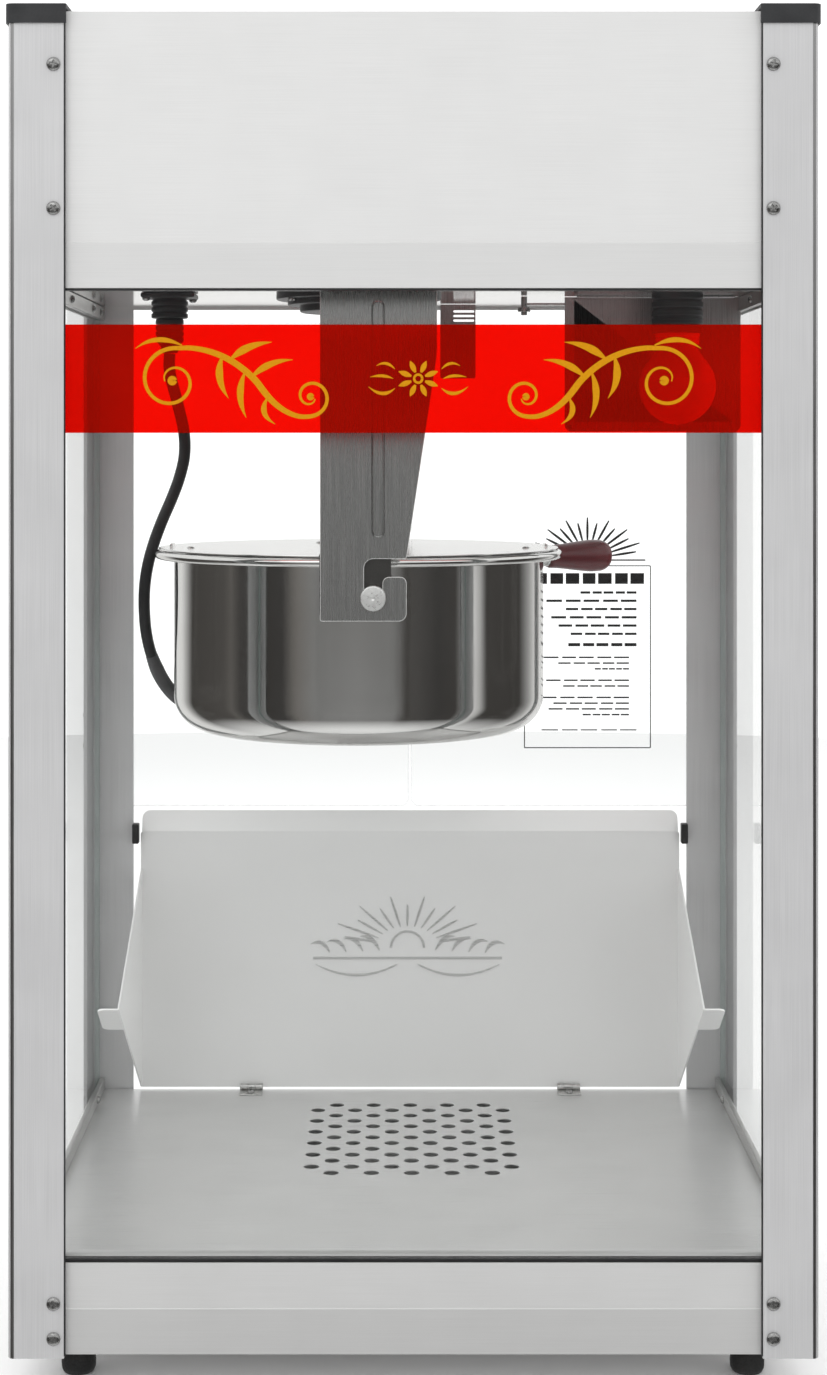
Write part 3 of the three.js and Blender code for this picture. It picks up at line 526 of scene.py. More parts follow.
screw_steel = plating(
    "screw_steel", (0.34, 0.34, 0.335), 0.24, ((0.26, 0.26, 0.255), (0.42, 0.42, 0.415)), (0.18, 0.32))
plated = plating(
    "plated_screw", (0.62, 0.62, 0.61), 0.28, ((0.48, 0.48, 0.47), (0.72, 0.72, 0.71)), (0.2, 0.42))
mirror_steel = finish("mirror_steel", (0.74, 0.73, 0.715), 0.05, 1.0)
vary(mirror_steel, (14, 14, 50), 5.0, "Roughness", 0.035, 0.11)
vary(mirror_steel, 70, 2.0, "Base Color", (0.70, 0.69, 0.675), (0.78, 0.775, 0.765))
relief(mirror_steel, noise(mirror_steel, (25, 25, 90), 1.0), 0.03)
zinc = finish("zinc_steel", (0.5, 0.51, 0.52), 0.48, 0.85)
spangle = noise(zinc, 9, kind="TexVoronoi")
spread(zinc, spangle, "Base Color", (0.42, 0.43, 0.44), (0.6, 0.61, 0.62), 0.1, 0.7)
vary(zinc, 2, 4.0, "Roughness", 0.38, 0.58)
relief(zinc, noise(zinc, 1.5), 0.02)
print("bright parts:", screw_steel.name, plated.name, mirror_steel.name, zinc.name)

# %% [markdown]
# The plastics and rubbers are dark, with a moulded grain in the gloss and the bump. The phenolic handle is
# glossy with slow swirls, as pressed resin has.

# %% Plastics, rubber and resin
def moulded(name, colour, lighter, roughness, grain, depth):
    """A plastic or rubber with a moulded grain of one cell size."""
    material = finish(name, colour, roughness)
    vary(material, 18, 3.0, "Base Color", colour, lighter)
    fine = noise(material, grain, 2.0)
    spread(material, fine, "Roughness", roughness - 0.08, roughness + 0.12)
    relief(material, fine, depth)
    return material


black_plastic = moulded("black_plastic", (0.011, 0.011, 0.012), (0.02, 0.02, 0.021), 0.42, 0.7, 0.03)
cap_plastic = moulded("cap_plastic", (0.016, 0.017, 0.019), (0.028, 0.029, 0.031), 0.5, 0.9, 0.04)
foot_rubber = moulded("foot_rubber", (0.010, 0.010, 0.010), (0.022, 0.022, 0.021), 0.72, 1.2, 0.06)
lead_rubber = moulded("lead_rubber", (0.008, 0.008, 0.009), (0.018, 0.018, 0.019), 0.4, 2.0, 0.03)
sleeve_rubber = moulded("sleeve_rubber", (0.05, 0.05, 0.052), (0.09, 0.09, 0.092), 0.6, 0.6, 0.05)
resin = finish("maroon_resin", (0.082, 0.010, 0.013), 0.3, Coat_Weight=0.15)
vary(resin, 70, 2.0, "Base Color", (0.078, 0.009, 0.012), (0.096, 0.012, 0.016))
vary(resin, 30, 2.0, "Roughness", 0.27, 0.34)
print("dark parts:", black_plastic.name, cap_plastic.name, foot_rubber.name, lead_rubber.name, resin.name)

# %% [markdown]
# Clear panes let light straight through and only reflect at a slant, by Fresnel. Light in a cut edge has come
# a long way through the pane, so the edges have finishes of their own. The red header tints what is behind
# it, and its face also takes light from the front, so two shaders share it.

# %% Panes and lamp glass
def clear(name, tint, mark, gloss=0.9):
    """A thin clear pane: transparent, with a mirror share that grows towards a slant on its near face."""
    material = bpy.data.materials.new(name)
    material.use_nodes = True
    tree = material.node_tree
    tree.nodes.clear()
    smears = noise(material, 55, 4.0)
    rough = node(tree, "MapRange", {"Value": smears, "To Min": 0.01, "To Max": mark}).outputs[0]
    through = node(tree, "BsdfTransparent", {"Color": (*tint, 1.0)}).outputs[0]
    mirror = node(tree, "BsdfGlossy", {"Color": (gloss, gloss, gloss, 1.0), "Roughness": rough}).outputs[0]
    slant = node(tree, "Fresnel", {"IOR": 1.45}).outputs[0]
    far = node(tree, "NewGeometry").outputs["Backfacing"]
    near = node(tree, "Math", {0: 1.0, 1: far}, operation="SUBTRACT").outputs[0]
    share = node(tree, "Math", {0: slant, 1: near}, operation="MULTIPLY").outputs[0]
    both = node(tree, "MixShader", {0: share, 1: through, 2: mirror}).outputs[0]
    tree.links.new(both, node(tree, "OutputMaterial").inputs["Surface"])
    return material


cabinet_glass = clear("cabinet_glass", (0.994, 0.997, 0.995), 0.06, 0.8)
door_acrylic = clear("door_acrylic", (0.994, 0.997, 0.996), 0.10, 0.7)
glass_edge = finish("glass_edge", (0.50, 0.60, 0.57), 0.18, 0.0, Alpha=0.75)
vary(glass_edge, 6, 3.0, "Roughness", 0.1, 0.3)
acrylic_edge = finish("acrylic_edge", (0.80, 0.82, 0.82), 0.25, 0.0, Alpha=0.3)
vary(acrylic_edge, 4, 3.0, "Roughness", 0.15, 0.4)
bulb_glass = finish("bulb_glass", (0.60, 0.58, 0.54), 0.22, 0.0, Alpha=0.82)
vary(bulb_glass, 10, 3.0, "Base Color", (0.55, 0.53, 0.49), (0.66, 0.64, 0.60))
print("clear:", cabinet_glass.name, door_acrylic.name, bulb_glass.name)

# %% Red header and inks
red_acrylic = finish("red_acrylic", (0.70, 0.016, 0.004), 0.16, Specular_IOR_Level=0.05)
red_tree = red_acrylic.node_tree
vary(red_acrylic, (120, 120, 40), 2.0, "Base Color", (0.66, 0.014, 0.003), (0.74, 0.018, 0.005))
vary(red_acrylic, 2, 3.0, "Roughness", 0.12, 0.22)
red_filter = node(red_tree, "BsdfTransparent", {"Color": (0.93, 0.008, 0.003, 1.0)}).outputs[0]
red_face = red_tree.nodes["Principled BSDF"].outputs[0]
red_both = node(red_tree, "MixShader", {0: 0.2, 1: red_filter, 2: red_face}).outputs[0]
red_tree.links.new(red_both, red_tree.nodes["Material Output"].inputs["Surface"])
gold_print = finish("gold_print", (0.60, 0.26, 0.003), 0.45, Specular_IOR_Level=0.08)
vary(gold_print, 1.5, 3.0, "Base Color", (0.56, 0.24, 0.002), (0.64, 0.28, 0.004))
black_print = finish("black_print", (0.012, 0.012, 0.012), 0.5)
vary(black_print, 0.8, 2.0, "Roughness", 0.4, 0.65)
white_print = finish("white_print", (0.75, 0.75, 0.74), 0.5)
vary(white_print, 0.6, 2.0, "Roughness", 0.4, 0.6)
floor_paint = finish("pale_floor", (0.98, 0.98, 0.98), 0.6)
vary(floor_paint, 300, 2.0, "Roughness", 0.5, 0.7)
floor.data.materials.append(floor_paint)
print("printed:", gold_print.name, black_print.name, white_print.name)

# %% [markdown]
# The record names thirteen material slots. Each has one finish that its pieces take unless a piece says
# otherwise, and the CAD nodes that keep their own shape take theirs here too.

# %% A finish for each slot
FINISHES = {
    "post_aluminium": drawn_aluminium, "panel_coat": coated_hood, "galvanised_steel": zinc,
    "stainless_steel": brushed_steel, "mirror_steel": mirror_steel, "black_plastic": black_plastic,
    "foot_rubber": foot_rubber, "lead_rubber": lead_rubber, "cabinet_glass": cabinet_glass,
    "door_acrylic": door_acrylic, "red_acrylic": red_acrylic, "bulb_glass": bulb_glass,
    "maroon_phenolic": resin,
}
KEPT_NODES = {
    "hood_cover": coated_rear, "base_rear_panel": coated_rear,
    "base_pan": coated_side, "ceiling_panel": ceiling_steel, "gear_motor": zinc, "kettle_heater": zinc,
}
for name, material in KEPT_NODES.items():
    frame["nodes"][name].data.materials.clear()
    frame["nodes"][name].data.materials.append(material)


def done(piece, name, body, slot, nodes=(), material=None, angle=32):
    """Names a finished piece, shades it, gives it its finish and hangs it on its body."""
    take(piece)
    bpy.ops.object.shade_smooth_by_angle(angle=math.radians(angle))
    weighted = piece.modifiers.new("weighted", "WEIGHTED_NORMAL")
    weighted.keep_sharp = True
    bpy.ops.object.modifier_apply(modifier=weighted.name)
    piece.name = piece.data.name = name
    if not piece.data.materials:
        piece.data.materials.append(material or FINISHES[slot])
    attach(piece, body)
    if nodes:
        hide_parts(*nodes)
    print(f"{name}: {len(piece.data.polygons)} faces on {body}")
    return piece


print("kept nodes:", len(KEPT_NODES))

# %% [markdown]
# ## Corner posts
# Each corner is a drawn aluminium angle with a rounded outside corner. One is modelled at the origin as an
# L outline pulled up to its length, then copied to the four corners, a quarter turn on at each. The rounded
# corner is smoother than the flat legs, so its faces take a finish of their own.

# %% Posts
CORNERS = [
    ("front_left", -1, -1, 0), ("front_right", 1, -1, 90),
    ("rear_right", 1, 1, 180), ("rear_left", -1, 1, 270),
]
low, high = box_of("post_front_left")
LEG = high.x - low.x
WALL, CORNER_RADIUS = 3.0, 4.0
SIDE, FRONT = -low.x, low.y
REAR = box_of("post_rear_left")[1].y
post = cut_out([
    (0, 0, CORNER_RADIUS), (LEG, 0, 0.6), (LEG, WALL, 0.6), (WALL, WALL, 1.0), (WALL, LEG, 0.6),
    (0, LEG, 0.6),
], "Z", low.z, high.z)


def at_corner(side_x, side_y, degrees):
    """From a corner drawn at the origin to one of the cabinet's four."""
    place = Vector((side_x * SIDE, FRONT if side_y < 0 else REAR, 0))
    return Matrix.Translation(place) @ Matrix.Rotation(math.radians(degrees), 4, "Z")


post.data.materials.append(drawn_aluminium)
post.data.materials.append(corner_aluminium)
for face in post.data.polygons:
    slanting = 0.05 < abs(face.normal.x) < 0.999 and abs(face.normal.z) < 0.1
    outside = max(face.center.xy) < (CORNER_RADIUS + 0.2) * MM and min(face.center.xy) < 1.2 * MM
    face.material_index = 1 if slanting and outside else 0
for corner, side_x, side_y, degrees in CORNERS:
    name = f"post_{corner}"
    angle_post = copied(post, at_corner(side_x, side_y, degrees))
    done(angle_post, f"{name}_angle", "cabinet", "post_aluminium", [name])
bpy.data.objects.remove(post)

# %% [markdown]
# A black moulded cap closes each post: a plate with a rounded corner over a skirt down the two outer faces.
# The feet are turned rubber, with a waist and a chamfer, each on a steel washer.

# %% Caps and feet
low, high = box_of("cap_front_left")
proud = -SIDE - low.x
far = high.x - low.x - proud
plate = cut_out([
    (-proud, -proud, 5.0), (far, -proud, 1.5), (far, far, 3.0), (-proud, far, 1.5),
], "Z", high.z - 2.7, high.z)
skirt = cut_out([
    (-proud, -proud, 5.0), (far, -proud), (far, -0.3), (-0.3, -0.3, 4.0), (-0.3, far), (-proud, far),
], "Z", low.z, high.z - 1.5)
cap = soften(combine(plate, [skirt]), 0.7, 3, 40)
low, high = box_of("foot_front_left")
radius, top = (high.x - low.x) / 2, high.z
foot = turned([
    (0, 0), (radius - 1.6, 0, 0.8), (radius - 0.2, 3.0, 0.8), (radius, 7.0, 0.6),
    (radius - 1.2, top - 4.0, 0.5), (radius - 0.2, top - 2.4, 0.4), (radius - 0.2, top - 0.9, 0.3),
    (radius - 2, top - 0.9), (radius - 2, top - 0.2), (0, top - 0.2),
], (0, 0, 0), 40)
for corner, side_x, side_y, degrees in CORNERS:
    name = f"cap_{corner}"
    moulding = copied(cap, at_corner(side_x, side_y, degrees))
    done(moulding, f"{name}_moulding", "cabinet", "black_plastic", [name], cap_plastic)
    name = f"foot_{corner}"
    middle = (box_of(name)[0] + box_of(name)[1]) / 2
    done(copied(foot, moved(middle.x, middle.y)), f"{name}_rubber", "cabinet", "foot_rubber", [name])
for piece in (cap, foot):
    bpy.data.objects.remove(piece)

# %% [markdown]
# The hood and the base each have a front panel of folded sheet, whose lower strip stands half a millimetre
# proud and takes a darker copy of the coat, as painted shade. It is drawn from the side, as a folder sees it,
# and pulled across the machine.

# %% Front panels
STRIP = 28.5
FRONT_PANELS = (("hood_front_panel", coated_hood, hood_strip_painted_shade), ("base_front_panel", coated_base_painted_shade, base_strip_painted_shade))
for node_name, upper_finish, strip_painted_shade_finish in FRONT_PANELS:
    low, high = box_of(node_name)
    panel = cut_out([
        (low.y, low.z, 0.6), (high.y, low.z, 0.2), (high.y, high.z, 0.2), (low.y + 0.5, high.z, 0.5),
        (low.y + 0.5, low.z + STRIP + 0.3, 0.2), (low.y, low.z + STRIP - 0.3, 0.2),
    ], "X", low.x, high.x)
    with editing(panel, "EDGE", "DESELECT"):
        pick(panel, lambda at, way: abs(abs(at.x) - high.x) < 0.01)
        bpy.ops.mesh.bevel(offset=0.15 * MM, segments=1, affect="EDGES")
    panel.data.materials.append(upper_finish)
    panel.data.materials.append(strip_painted_shade_finish)
    # Faces below the fold line take the darker copy: painted shade on the strip.
    for face in panel.data.polygons:
        face.material_index = 1 if face.center.z < (low.z + STRIP) * MM else 0
    done(panel, f"{node_name}_sheet", "cabinet", "panel_coat", [node_name])

# %% [markdown]
# The hood's rear panel keeps its holes for the switches and the cord. It is a copy of the imported mesh,
# merged and trimmed along its foot so that the polished ceiling behind it catches the light. A black strip
# under the hood's front foot is a painted shadow, the dark line where the hood meets the ceiling, and a thin
# black strip runs along the inner edge of each front post.

# %% Rear panel and dark strips
rear_panel = bpy.data.objects.new("rear_panel", frame["nodes"]["hood_rear_panel"].data.copy())
bpy.context.scene.collection.objects.link(rear_panel)
trim_z = box_of("ceiling_panel")[0].z - 2.2
with editing(rear_panel):
    bpy.ops.mesh.remove_doubles(threshold=1e-6)
    bpy.ops.mesh.select_all(action="SELECT")
    bpy.ops.mesh.bisect(plane_co=(0, 0, trim_z * MM), plane_no=(0, 0, 1), use_fill=True, clear_inner=True)
rear_panel.data.materials.clear()
done(rear_panel, "hood_rear_panel_sheet", "cabinet", "panel_coat", ["hood_rear_panel"], coated_rear)
low, high = box_of("hood_front_panel")
# A black strip under the hood's front foot: a painted shadow where the hood meets the ceiling.
dark_strip = block((low.x, low.y + 0.1, low.z - 1.3), (high.x, low.y + 9, low.z), 0.3, 1)
done(dark_strip, "hood_foot_painted_shadow", "cabinet", "lead_rubber")
strip_foot, strip_head = box_of("base_front_panel")[0].z, high.z - 2
SIDES = [("left", -1), ("right", 1)]
# A thin black strip along the inner edge of each front post.
for word, side in SIDES:
    edges = sorted((side * (SIDE - LEG), side * (SIDE - LEG - 0.7)))
    dark_strip = block((edges[0], FRONT + 0.2, strip_foot), (edges[1], FRONT + 2.9, strip_head), 0.2, 1)
    done(dark_strip, f"post_edge_strip_{word}", "cabinet", "lead_rubber")

# %% [markdown]
# Pan-head screws hold the panels to the posts. A head is a turned dome with a cross cut into it; it is
# modelled once, facing -Y, and copied wherever the machine has one.

# %% Screws
def screw_head(radius):
    """A pan head with a cross recess, its seat at the origin, facing -Y."""
    head = turned([
        (0, 0), (radius - 0.1, 0), (radius, 0.5, 0.2), (radius * 0.84, 1.75, 0.7), (radius * 0.45, 2.2, 0.3),
        (0, 2.3),
    ], (0, 0, 0), 28, (0, -1, 0))
    arm, thick = radius * 0.56, radius * 0.15
    cross = [block((-wide, -3, -tall), (wide, -1.1, tall), 0.05, 1)
             for wide, tall in ((arm, thick), (thick, arm))]
    return combine(head, cross, "DIFFERENCE")


FACING = {word: Matrix.Rotation(math.radians(degrees), 4, "Z")
          for word, degrees in (("front", 0), ("right", 90), ("rear", 180), ("left", -90))}
FACING["down"] = Matrix.Rotation(math.radians(90), 4, "X")
screw, small_screw = screw_head(4.4), screw_head(2.9)


def screws(places, facing, name, body="cabinet", head=None, turns=(12, 55, 80, 33, 64)):
    """One object of screws, each at (x, y, z) and turned by its own angle."""
    heads = []
    for index, place in enumerate(places):
        twist = Matrix.Rotation(math.radians(turns[index % len(turns)]), 4, "Y")
        face = FACING[facing] if isinstance(facing, str) else facing
        heads.append(copied(head or screw, moved(*place) @ face @ twist))
    return done(joined(heads), name, body, "stainless_steel", material=screw_steel)


SCREW_INSET = 28.5
SCREW_HEIGHTS = (826.5, 737.0, 56.8, 35.0)
for word, side in SIDES:
    x = side * (SIDE - SCREW_INSET)
    screws([(x, FRONT, z) for z in SCREW_HEIGHTS], "front", f"screws_front_{word}")
    screws([(x, REAR, z) for z in SCREW_HEIGHTS], "rear", f"screws_rear_{word}")
    y_places = [FRONT + SCREW_INSET, REAR - SCREW_INSET]
    screws([(side * SIDE, y, z) for y in y_places for z in SCREW_HEIGHTS], word, f"screws_side_{word}")

# %% [markdown]
# The deck is a brushed sheet with a rolled front lip and a field of sieve holes that lets unpopped corn fall
# into the drawer. Two arrays of one cylinder, for the long and the short rows, cut all the holes at once.

# %% Deck
low, high = box_of("deck")
roll, sheet = 9.0, 1.2
top, flat = high.z, low.y + roll
lip = arc((flat, top - roll), roll, [90 + 90 * step / 8 for step in range(9)])
under = [(flat + (u - flat) * (roll - sheet) / roll, top - roll + (v - top + roll) * (roll - sheet) / roll)
         for u, v in reversed(lip)]
deck = cut_out([(high.y, top)] + lip + [(low.y, low.z, 0.3), (low.y + sheet, low.z, 0.3)] + under
               + [(high.y, top - sheet)], "X", low.x, high.x)
HOLE, PITCH, ROW_PITCH, FIELD_Y = 5.3, 28.0, 14.0, 50.0
cutters = []
for count, rows in ((5, 7), (6, 6)):
    start = (-(count - 1) / 2 * PITCH, FIELD_Y - (rows - 1) * ROW_PITCH, top - 0.6)
    cutter = turned([(0, -3), (HOLE, -3), (HOLE, 3), (0, 3)], start, 28)
    for number, offset in ((count, (PITCH, 0, 0)), (rows, (0, 2 * ROW_PITCH, 0))):
        array = cutter.modifiers.new("rows", "ARRAY")
        array.count = number
        array.use_relative_offset = False
        array.use_constant_offset = True
        array.constant_offset_displace = Vector(offset) * MM
        take(cutter)
        bpy.ops.object.modifier_apply(modifier=array.name)
    cutters.append(cutter)
combine(deck, cutters, "DIFFERENCE")
soften(deck, 0.3, 2, 50)
done(deck, "deck_sheet", "cabinet", "stainless_steel", ["deck"], deck_steel)

# %% [markdown]
# Every pane is a block with polished edges. Its faces take the clear finish and its narrow edges a tinted
# one, because a pane's edge looks green or grey while its face can hardly be seen.

# %% Glass
def pane(piece, name, body, slot, thin_axis, edge_finish, nodes):
    """Finishes a pane: clear on its two faces, which look along the thin axis, and tinted on its edges."""
    piece.data.materials.append(FINISHES[slot])
    piece.data.materials.append(edge_finish)
    for face in piece.data.polygons:
        face.material_index = 0 if abs(face.normal[thin_axis]) > 0.99 else 1
    return done(piece, name, body, slot, nodes)


for node_name, thin_axis in (("side_glass_left", 0), ("side_glass_right", 0), ("front_glass", 1)):
    low, high = box_of(node_name)
    sheet_glass = block(low, high, 0.5, 1)
    pane(sheet_glass, f"{node_name}_pane", "cabinet", "cabinet_glass", thin_axis, glass_edge, [node_name])

# %% [markdown]
# Black gaskets and bright channels hold the panes: a rubber bead under the front glass, and a channel of
# folded steel along the foot and the head of each side pane, with its screws.

# %% Gaskets and channels
glass_low, glass_high = box_of("front_glass")
side_low, side_high = box_of("side_glass_right")
bead_low = (-glass_high.x, glass_low.y - 0.2, glass_low.z - 0.2)
bead = block(bead_low, (glass_high.x, glass_high.y + 1.2, glass_low.z + 2.0), 0.5, 3)
done(bead, "front_glass_bead", "cabinet", "lead_rubber")
inner, outer = side_low.x - 4.2, side_low.x - 0.2
RAILS = (("lower", side_low.z + 3.9, side_low.z + 13), ("upper", side_high.z - 10.2, side_high.z))
for word, side in SIDES:
    for place, z_low, z_high in RAILS:
        section = [(inner, z_low, 0.8), (outer, z_low), (outer, z_high), (inner, z_high, 0.8)]
        rail = cut_out([(side * c[0], *c[1:]) for c in section], "Y", glass_high.y + 1.6, 176.8)
        soften(rail, 0.4, 2, 50)
        done(rail, f"glass_channel_{place}_{word}", "cabinet", "stainless_steel", material=deep_steel)
    facing = "left" if side > 0 else "right"
    spots = [(side * inner, y, side_high.z - 5.2) for y in (-176, -128, -12, 104, 150)]
    screws(spots, facing, f"screws_channel_{word}", head=small_screw)
    low_spots = [(side * inner, y, side_low.z + 8.6) for y in (-150, 130)]
    screws(low_spots, facing, f"screws_channel_low_{word}", head=small_screw)

# %% [markdown]
# ## Header
# The red acrylic strip stands in front of the glass. Its ornament is printed in gold: a pair of scrolls with
# leaves, one the mirror of the other, and a rosette between them. Each stroke is a curve whose thickness
# swells and tapers along its length; made a mesh and pressed flat, it lies on the strip as thick ink does.

# %% Ink strokes
def spiral(centre, radius, start, sweep, shrink, steps=14):
    """Points that wind inwards round a centre, angles in degrees."""
    points = []
    for step in range(steps + 1):
        share = step / steps
        angle = math.radians(start + sweep * share)
        size = radius * (1 - shrink * share)
        points.append((centre[0] + size * math.cos(angle), centre[1] + size * math.sin(angle)))
    return points


LAYER_GAP, LAYER_RISE = 20 * MM, 0.012


def strokes(lines, name, body, slot, material, level, rise):
    """Lines of (points, widths) in X and Z, pressed to a relief that rises from the plane at level.

    The lines are made a gap apart in Y, so that where they cross, each can be pressed to a height of its own.
    """
    curve = bpy.data.curves.new(name, "CURVE")
    curve.dimensions = "3D"
    curve.bevel_depth = MM
    curve.bevel_resolution = 2
    curve.resolution_u = 4
    curve.use_fill_caps = True
    for layer, (points, widths) in enumerate(lines):
        spline = curve.splines.new("NURBS")
        spline.points.add(len(points) - 1)
        spline.use_endpoint_u = True
        spline.order_u = 3
        for index, (point, (u, v)) in enumerate(zip(spline.points, points)):
            share = index / (len(points) - 1) * (len(widths) - 1)
            first = min(int(share), len(widths) - 2)
            width = widths[first] + (widths[first + 1] - widths[first]) * (share - first)
            point.co = (u * MM, layer * LAYER_GAP, v * MM, 1)
            point.radius = width / 2
    ink = bpy.data.objects.new(name, curve)
    bpy.context.scene.collection.objects.link(ink)
    take(ink)
    bpy.ops.object.convert(target="MESH")
    ink = bpy.context.object
    with editing(ink):
        for vertex in bmesh.from_edit_mesh(ink.data).verts:
            layer = round(vertex.co.y / LAYER_GAP)
            share = max(-1, min(1, (vertex.co.y - layer * LAYER_GAP) / (0.5 * MM)))
            vertex.co.y = (level + share * (rise + LAYER_RISE * layer)) * MM
        bpy.ops.mesh.normals_make_consistent(inside=False)
    return done(ink, name, body, slot, material=material)


low, high = box_of("header_band")
band = block(low, high, 0.35, 2)
done(band, "header_strip", "cabinet", "red_acrylic", ["header_band"])
BAND_Z = (low.z + high.z) / 2
BAND_FACE = low.y

# %% Scrolls and rosette
def bow(start, bend, end, steps=8):
    """A simple curve from start to end that leans towards bend."""
    points = []
    for step in range(steps + 1):
        t = step / steps
        point = [(1 - t) ** 2 * a + 2 * t * (1 - t) * b + t * t * c for a, b, c in zip(start, bend, end)]
        points.append(tuple(point))
    return points


SCROLL = [
    # An S-shaped stem winds into a large curl at its outer end and a small one at its inner end.
    (spiral((-150, 630), 21, 75, 470, 0.78, 24)[::-1] + bow((-140, 650.5), (-116, 649), (-98, 630))
     + bow((-95, 626), (-84, 610), (-70, 607.5)) + spiral((-64, 620), 12.5, -95, 430, 0.75, 20),
     [0.8, 1.6, 2.2, 2.2, 2.6, 3.8, 4.2, 3.2, 2.2, 2.0, 1.6, 0.8]),
    # Plain pointed leaves spring from the stem, two above it and three below it.
    (bow((-114, 643), (-104, 653), (-88, 654)), [1.2, 5.2, 3.6, 0.3]),
    (bow((-101, 632), (-90, 643), (-75, 643)), [1.2, 4.6, 3.2, 0.3]),
    (bow((-119, 645), (-124, 631), (-115, 619)), [1.2, 5.0, 3.6, 0.3]),
    (bow((-105, 635), (-111, 620), (-104, 607)), [1.2, 4.6, 3.4, 0.3]),
    (bow((-91, 619), (-97, 609), (-86, 603)), [1.0, 3.8, 2.8, 0.3]),
    (bow((-144, 652), (-160, 660), (-173, 650)), [0.8, 3.4, 2.6, 0.3]),
    # A bead closes each curl.
    (spiral((-150, 630), 1.6, 0, 360, 0.0, 8), [3.0, 3.0]),
    (spiral((-64, 620), 1.2, 0, 360, 0.0, 8), [2.4, 2.4]),
]
petals = []
for index in range(8):
    angle = math.radians(22.5 + 45 * index)
    reach = Vector((math.cos(angle), math.sin(angle) * 0.9))
    petals.append((bow(reach * 4.6, reach * 9, reach * 13.2, 4), [1.2, 3.6, 3.4, 0.4]))
for side in (-1, 1):
    petals.append((bow((side * 14.5, -6), (side * 22, -13), (side * 31, -5)), [0.4, 2.4, 2.0, 0.3]))
    petals.append((bow((side * 15.5, 0), (side * 22, 3), (side * 30, 1)), [0.3, 2.0, 1.8, 0.3]))
    petals.append((bow((side * 14.5, 6), (side * 20, 12), (side * 26, 8)), [0.4, 2.0, 1.6, 0.3]))
petals.append((spiral((0, 0), 2.6, 0, 360, 0.0, 12), [1.6, 1.6]))
ORNAMENTS = [
    ("left", 1, 0.0, 0.0, SCROLL), ("right", -1, 6.0, 0.0, SCROLL), ("middle", 1, 3.0, BAND_Z, petals),
]
for word, side, across, up, lines in ORNAMENTS:
    placed = [([(side * u + across, v + up) for u, v in points], widths) for points, widths in lines]
    strokes(placed, f"header_gold_{word}", "cabinet", "red_acrylic", gold_print, BAND_FACE, 0.22)

# %% [markdown]
# ## Hangers and drive
# Two steel hangers come down from the ceiling, and the kettle's pins sit in their J-shaped slots. Each is
# cut from sheet to one outline, with a flange at its head and a long rib pressed into it for stiffness. The
# bevel along the cut edge of each face takes a brighter copy of the steel: a painted highlight.

# %% Hangers
low, high = box_of("hanger_front")
LEFT, BOTTOM, HEAD = low.x, low.z, high.z
PIVOT = Vector(frame["joints"][0]["pos_m"]) / MM
TIP, MOUTH_LOW, MOUTH_HIGH, WAIST = -4.1, PIVOT.z + 13.5, PIVOT.z + 25, HEAD - 50
SLOT = 5.9
hanger_outline = [
    (LEFT, HEAD), (LEFT, BOTTOM, 1.2), (TIP, BOTTOM, 5.0), (TIP, MOUTH_LOW, 4.0),
    (PIVOT.x + SLOT, MOUTH_LOW, 4.2), *arc((PIVOT.x, PIVOT.z), SLOT, range(0, -181, -15)),
    (PIVOT.x - SLOT, MOUTH_HIGH, 6.0), (TIP, MOUTH_HIGH, 1.2), (high.x, WAIST, 5.2), (high.x, HEAD),
]
RIB_X, RIB_HALF, RIB_RISE, RIB_FOOT, RIB_HEAD = -22.3, 4.25, 1.8, 530.6, 682.7
for word, side in (("front", -1), ("rear", 1)):
    low, high = box_of(f"hanger_{word}")
    face = low.y if side < 0 else high.y
    back = face - side * 2.0
    plate = cut_out(hanger_outline, "Y", min(face, back), max(face, back))
    flange = block((low.x, low.y, HEAD - 2), (high.x, high.y, HEAD), 0.2, 1)
    rib_corners = [(-1, RIB_FOOT), (1, RIB_FOOT), (1, RIB_HEAD), (-1, RIB_HEAD)]
    rib_outline = [(RIB_X + across * RIB_HALF, z, RIB_HALF - 0.1) for across, z in rib_corners]
    rib = cut_out(rib_outline, "Y", min(face + side * RIB_RISE, back), max(face + side * RIB_RISE, back))
    with editing(rib, "EDGE", "DESELECT"):
        pick(rib, lambda at, way: abs(at.y - face - side * RIB_RISE) < 0.01)
        bpy.ops.mesh.bevel(offset=(RIB_RISE - 0.05) * MM, segments=4, affect="EDGES")
    hanger = combine(plate, [flange])
    with editing(hanger, "EDGE", "DESELECT"):
        pick(hanger, lambda at, way: abs(at.y - face) < 0.01 and at.z < HEAD - 3)
        bpy.ops.mesh.bevel(offset=0.35 * MM, segments=2, affect="EDGES")
    combine(hanger, [rib])
    hanger.data.materials.clear()
    hanger.data.materials.append(hanger_steel)
    hanger.data.materials.append(cut_edge_painted_highlight)
    # Bevel faces along the cut edge take the brighter copy: a painted highlight.
    for polygon in hanger.data.polygons:
        slant = 0.2 < abs(polygon.normal.y) < 0.98 and abs(polygon.center.y / MM - face) < 0.36
        polygon.material_index = 1 if slant else 0
    done(hanger, f"hanger_{word}_plate", "cabinet", "stainless_steel", [f"hanger_{word}"])

# %% [markdown]
# The drive comes through a stepped black boss under the ceiling. Its head has a tongue that stands in a slot
# in the stirrer's shaft, so the kettle can swing away without undoing anything.

